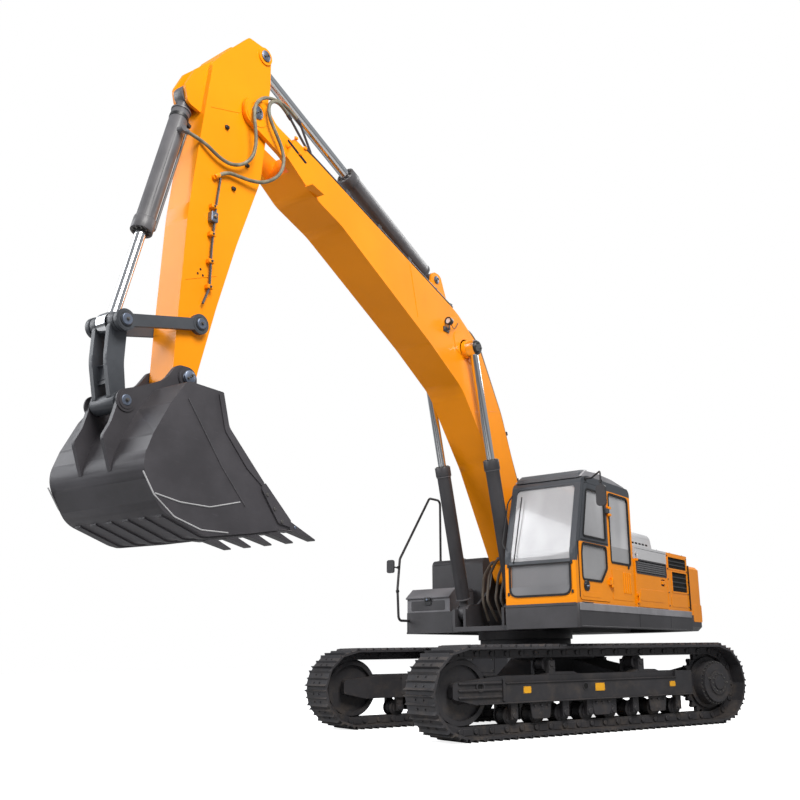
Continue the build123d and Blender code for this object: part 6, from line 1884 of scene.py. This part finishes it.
    def rails(self) -> None:
        """Feet, clamps and mirror glass of the rails and mirrors."""
        form = Form("rail_details")
        y = -1.44
        form.box(BLACK_STEEL, (-0.13, y - 0.035, 2.275), (-0.05, y + 0.035, 2.285), 0.002)
        form.bolts(BOLT_STEEL, [(-0.115, y, 2.285), (-0.065, y, 2.285)], UP, 0.007)
        for x, z in ((0.955, 2.11), (0.98, 1.78)):
            form.ring(BLACK_STEEL, (x, y, z), (0.3, 0, 1), 0.016, 0.024, 0.03, 16)
        form.plate(MIRROR_GLASS, panel(y - 0.17, 2.06, y - 0.07, 2.22, 0.025), 0.966, 0.9705,
                   Axis.X, 0.001)
        form.plate(MIRROR_GLASS, panel(1.765, 2.63, 1.875, 2.86, 0.035), 1.306, 1.31, Axis.X,
                   0.001)
        form.disc(BLACK_STEEL, (0.965, 1.4545, 3.04), LEFT, 0.026, 0.012)
        form.ring(BLACK_STEEL, (1.325, 1.82, 2.9), UP, 0.011, 0.02, 0.03, 16)
        form.done("upper")

    def exhaust(self) -> None:
        """Open mouth, clamp and flange of the exhaust pipe."""
        form = Form("exhaust_details")
        form.disc(SHADOW, (-2.326, -1.18, 2.8235), (-0.894, 0.0, 0.447), 0.052, 0.0025, 0.0, 24)
        x, y = self.exhaust_pipe
        form.ring(BLACK_STEEL, (x, y, 2.38), UP, 0.062, 0.07, 0.03, 28)
        form.ring(BLACK_STEEL, (x, y, 2.337), UP, 0.06, 0.1, 0.01, 28)
        form.bolt_ring(BOLT_STEEL, (x, y, 2.346), UP, 0.085, 6, 0.008)
        form.done("upper")

    def make(self) -> None:
        """Builds all of it."""
        self.skirts()
        self.box_trim()
        self.tanks()
        self.fittings()
        self.rails()
        self.exhaust()


@dataclass(frozen=True)
class ArmHose:
    """One of the two hoses that hang between the boom's lines and the arm."""

    name: str
    length: float
    points: tuple[Point, ...]
    radius: float = 0.018

    def _route(self) -> bpy.types.Curve:
        """Draws the hose's middle line.

        Returns:
            One smooth spline along the points, which are in millimetres.
        """
        curve = bpy.data.curves.new(self.name, "CURVE")
        curve.dimensions = "3D"
        curve.resolution_u, curve.use_fill_caps = 6, True
        spline = curve.splines.new("NURBS")
        spline.points.add(len(self.points) - 1)
        for point, place in zip(spline.points, self.points):
            point.co = (*(c / 1000 for c in place), 1.0)
        spline.order_u = 3
        spline.use_endpoint_u = True
        return curve

    def make(self) -> None:
        """Hangs the hose between the boom's line and the arm's port."""
        curve = self._route()
        holder = bpy.data.objects.new("route", curve)
        line = bpy.data.meshes.new_from_object(holder)
        curve.bevel_depth, curve.bevel_resolution = self.radius, 3
        tube = bpy.data.meshes.new_from_object(holder)
        tube.materials.append(HOSE_SKIN.material())
        tube.shade_smooth()
        hose = put(self.name, tube)
        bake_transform(hose)
        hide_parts("arm_hoses")
        log.info("made %s", self.name)


ARM_HOSES = (ArmHose("arm_hose_outer", 2.166,
                     ((6335, 138, 5630), (6195, 188, 5590), (6030, 196, 5515), (5870, 198, 5500),
                      (5725, 216, 5560), (5625, 242, 5680), (5600, 254, 5840), (5622, 256, 6000),
                      (5650, 256, 6150), (5612, 244, 6300), (5494, 224, 6424), (5348, 208, 6490),
                      (5205, 198, 6520), (5075, 191, 6508), (4975, 191, 6458))),
             ArmHose("arm_hose_inner", 1.951,
                     ((5985, 178, 5345), (5900, 186, 5415), (5760, 192, 5432), (5610, 206, 5445),
                      (5470, 230, 5478), (5350, 252, 5560), (5258, 262, 5668), (5216, 264, 5800),
                      (5242, 264, 5935), (5332, 264, 6062), (5434, 264, 6185), (5468, 264, 6312),
                      (5420, 264, 6406), (5322, 254, 6448), (5230, 240, 6438),
                      (5155, 232, 6402))),)


NODE_FINISHES: dict[Finish, dict[str, float]] = {
    ORANGE: {"boom": 0.006, "arm": 0.006, "side_door_right": 0.004},
    TAIL_PAINT: {"counterweight": 0.02},
    WALL_PAINT: {"house_walls": 0.004},
    SIDE_PAINT: {"side_door_left": 0.004},
    CAB_PAINT: {"cab_shell": 0.006},
    DOOR_PAINT: {"cab_door": 0.004},
    LIGHT_GREY: {"engine_hood": 0.008, "roof_hatch": 0.006},
    BOX_GREY: {"tool_box": 0.005, "tool_box_lid": 0.004},
    DECK_GREY: {"upper_frame": 0.006,
                "fuel_tank": 0.01, "hydraulic_tank": 0.01, "exhaust_pipe": 0.0},
    BUCKET_GREY: {"bucket": 0.004, "bucket_teeth": 0.003},
    LINK_GREY: {"rocker_links": 0.006, "tipping_link": 0.006},
    # The boom barrels take the barrel grey darkened with painted shade.
    BOOM_BARREL_PAINTED_SHADE: {"boom_cylinder_barrels": 0.003},
    BARREL_GREY: {"arm_cylinder_barrel": 0.003, "bucket_cylinder_barrel": 0.003},
    CHROME: {"boom_cylinder_rods": 0.0, "arm_cylinder_rod": 0.0, "bucket_cylinder_rod": 0.0},
    TRACK_BLACK: {"track_left": 0.002, "track_right": 0.002},
    BODY_BLACK: {"track_frame_left": 0.005, "track_frame_right": 0.005, "idlers": 0.004,
                 "sprockets": 0.003, "final_drives": 0.004, "track_rollers": 0.004,
                 "car_body": 0.005, "swing_bearing": 0.003, "engine_block": 0.004,
                 "valve_block": 0.004, "rails_and_mirrors": 0.0},
    LINE_STEEL: {"boom_fittings": 0.002},
    TRIM: {"cab_consoles": 0.004},
    SEAT_CLOTH: {"operator_seat": 0.02},
    # The cab's panes carry the pale painted reflection.
    GLASS: {"cab_glass": 0.0, "cab_door_glass": 0.0},
}


def main() -> None:
    """Builds the classes in order."""
    logging.basicConfig(level=logging.INFO, format="%(message)s")
    bpy.context.scene.view_settings.view_transform = "Standard"
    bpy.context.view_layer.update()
    Camera().make()
    for hose in ARM_HOSES:
        hose.make()
    for finish, nodes in NODE_FINISHES.items():
        for node, edge in nodes.items():
            dress(node, finish, edge)
    for part in (Crawler(), Deck(), House(), Cabin(), WorkingArm()):
        part.make()
    Studio().make()


if __name__ == "__main__":
    main()
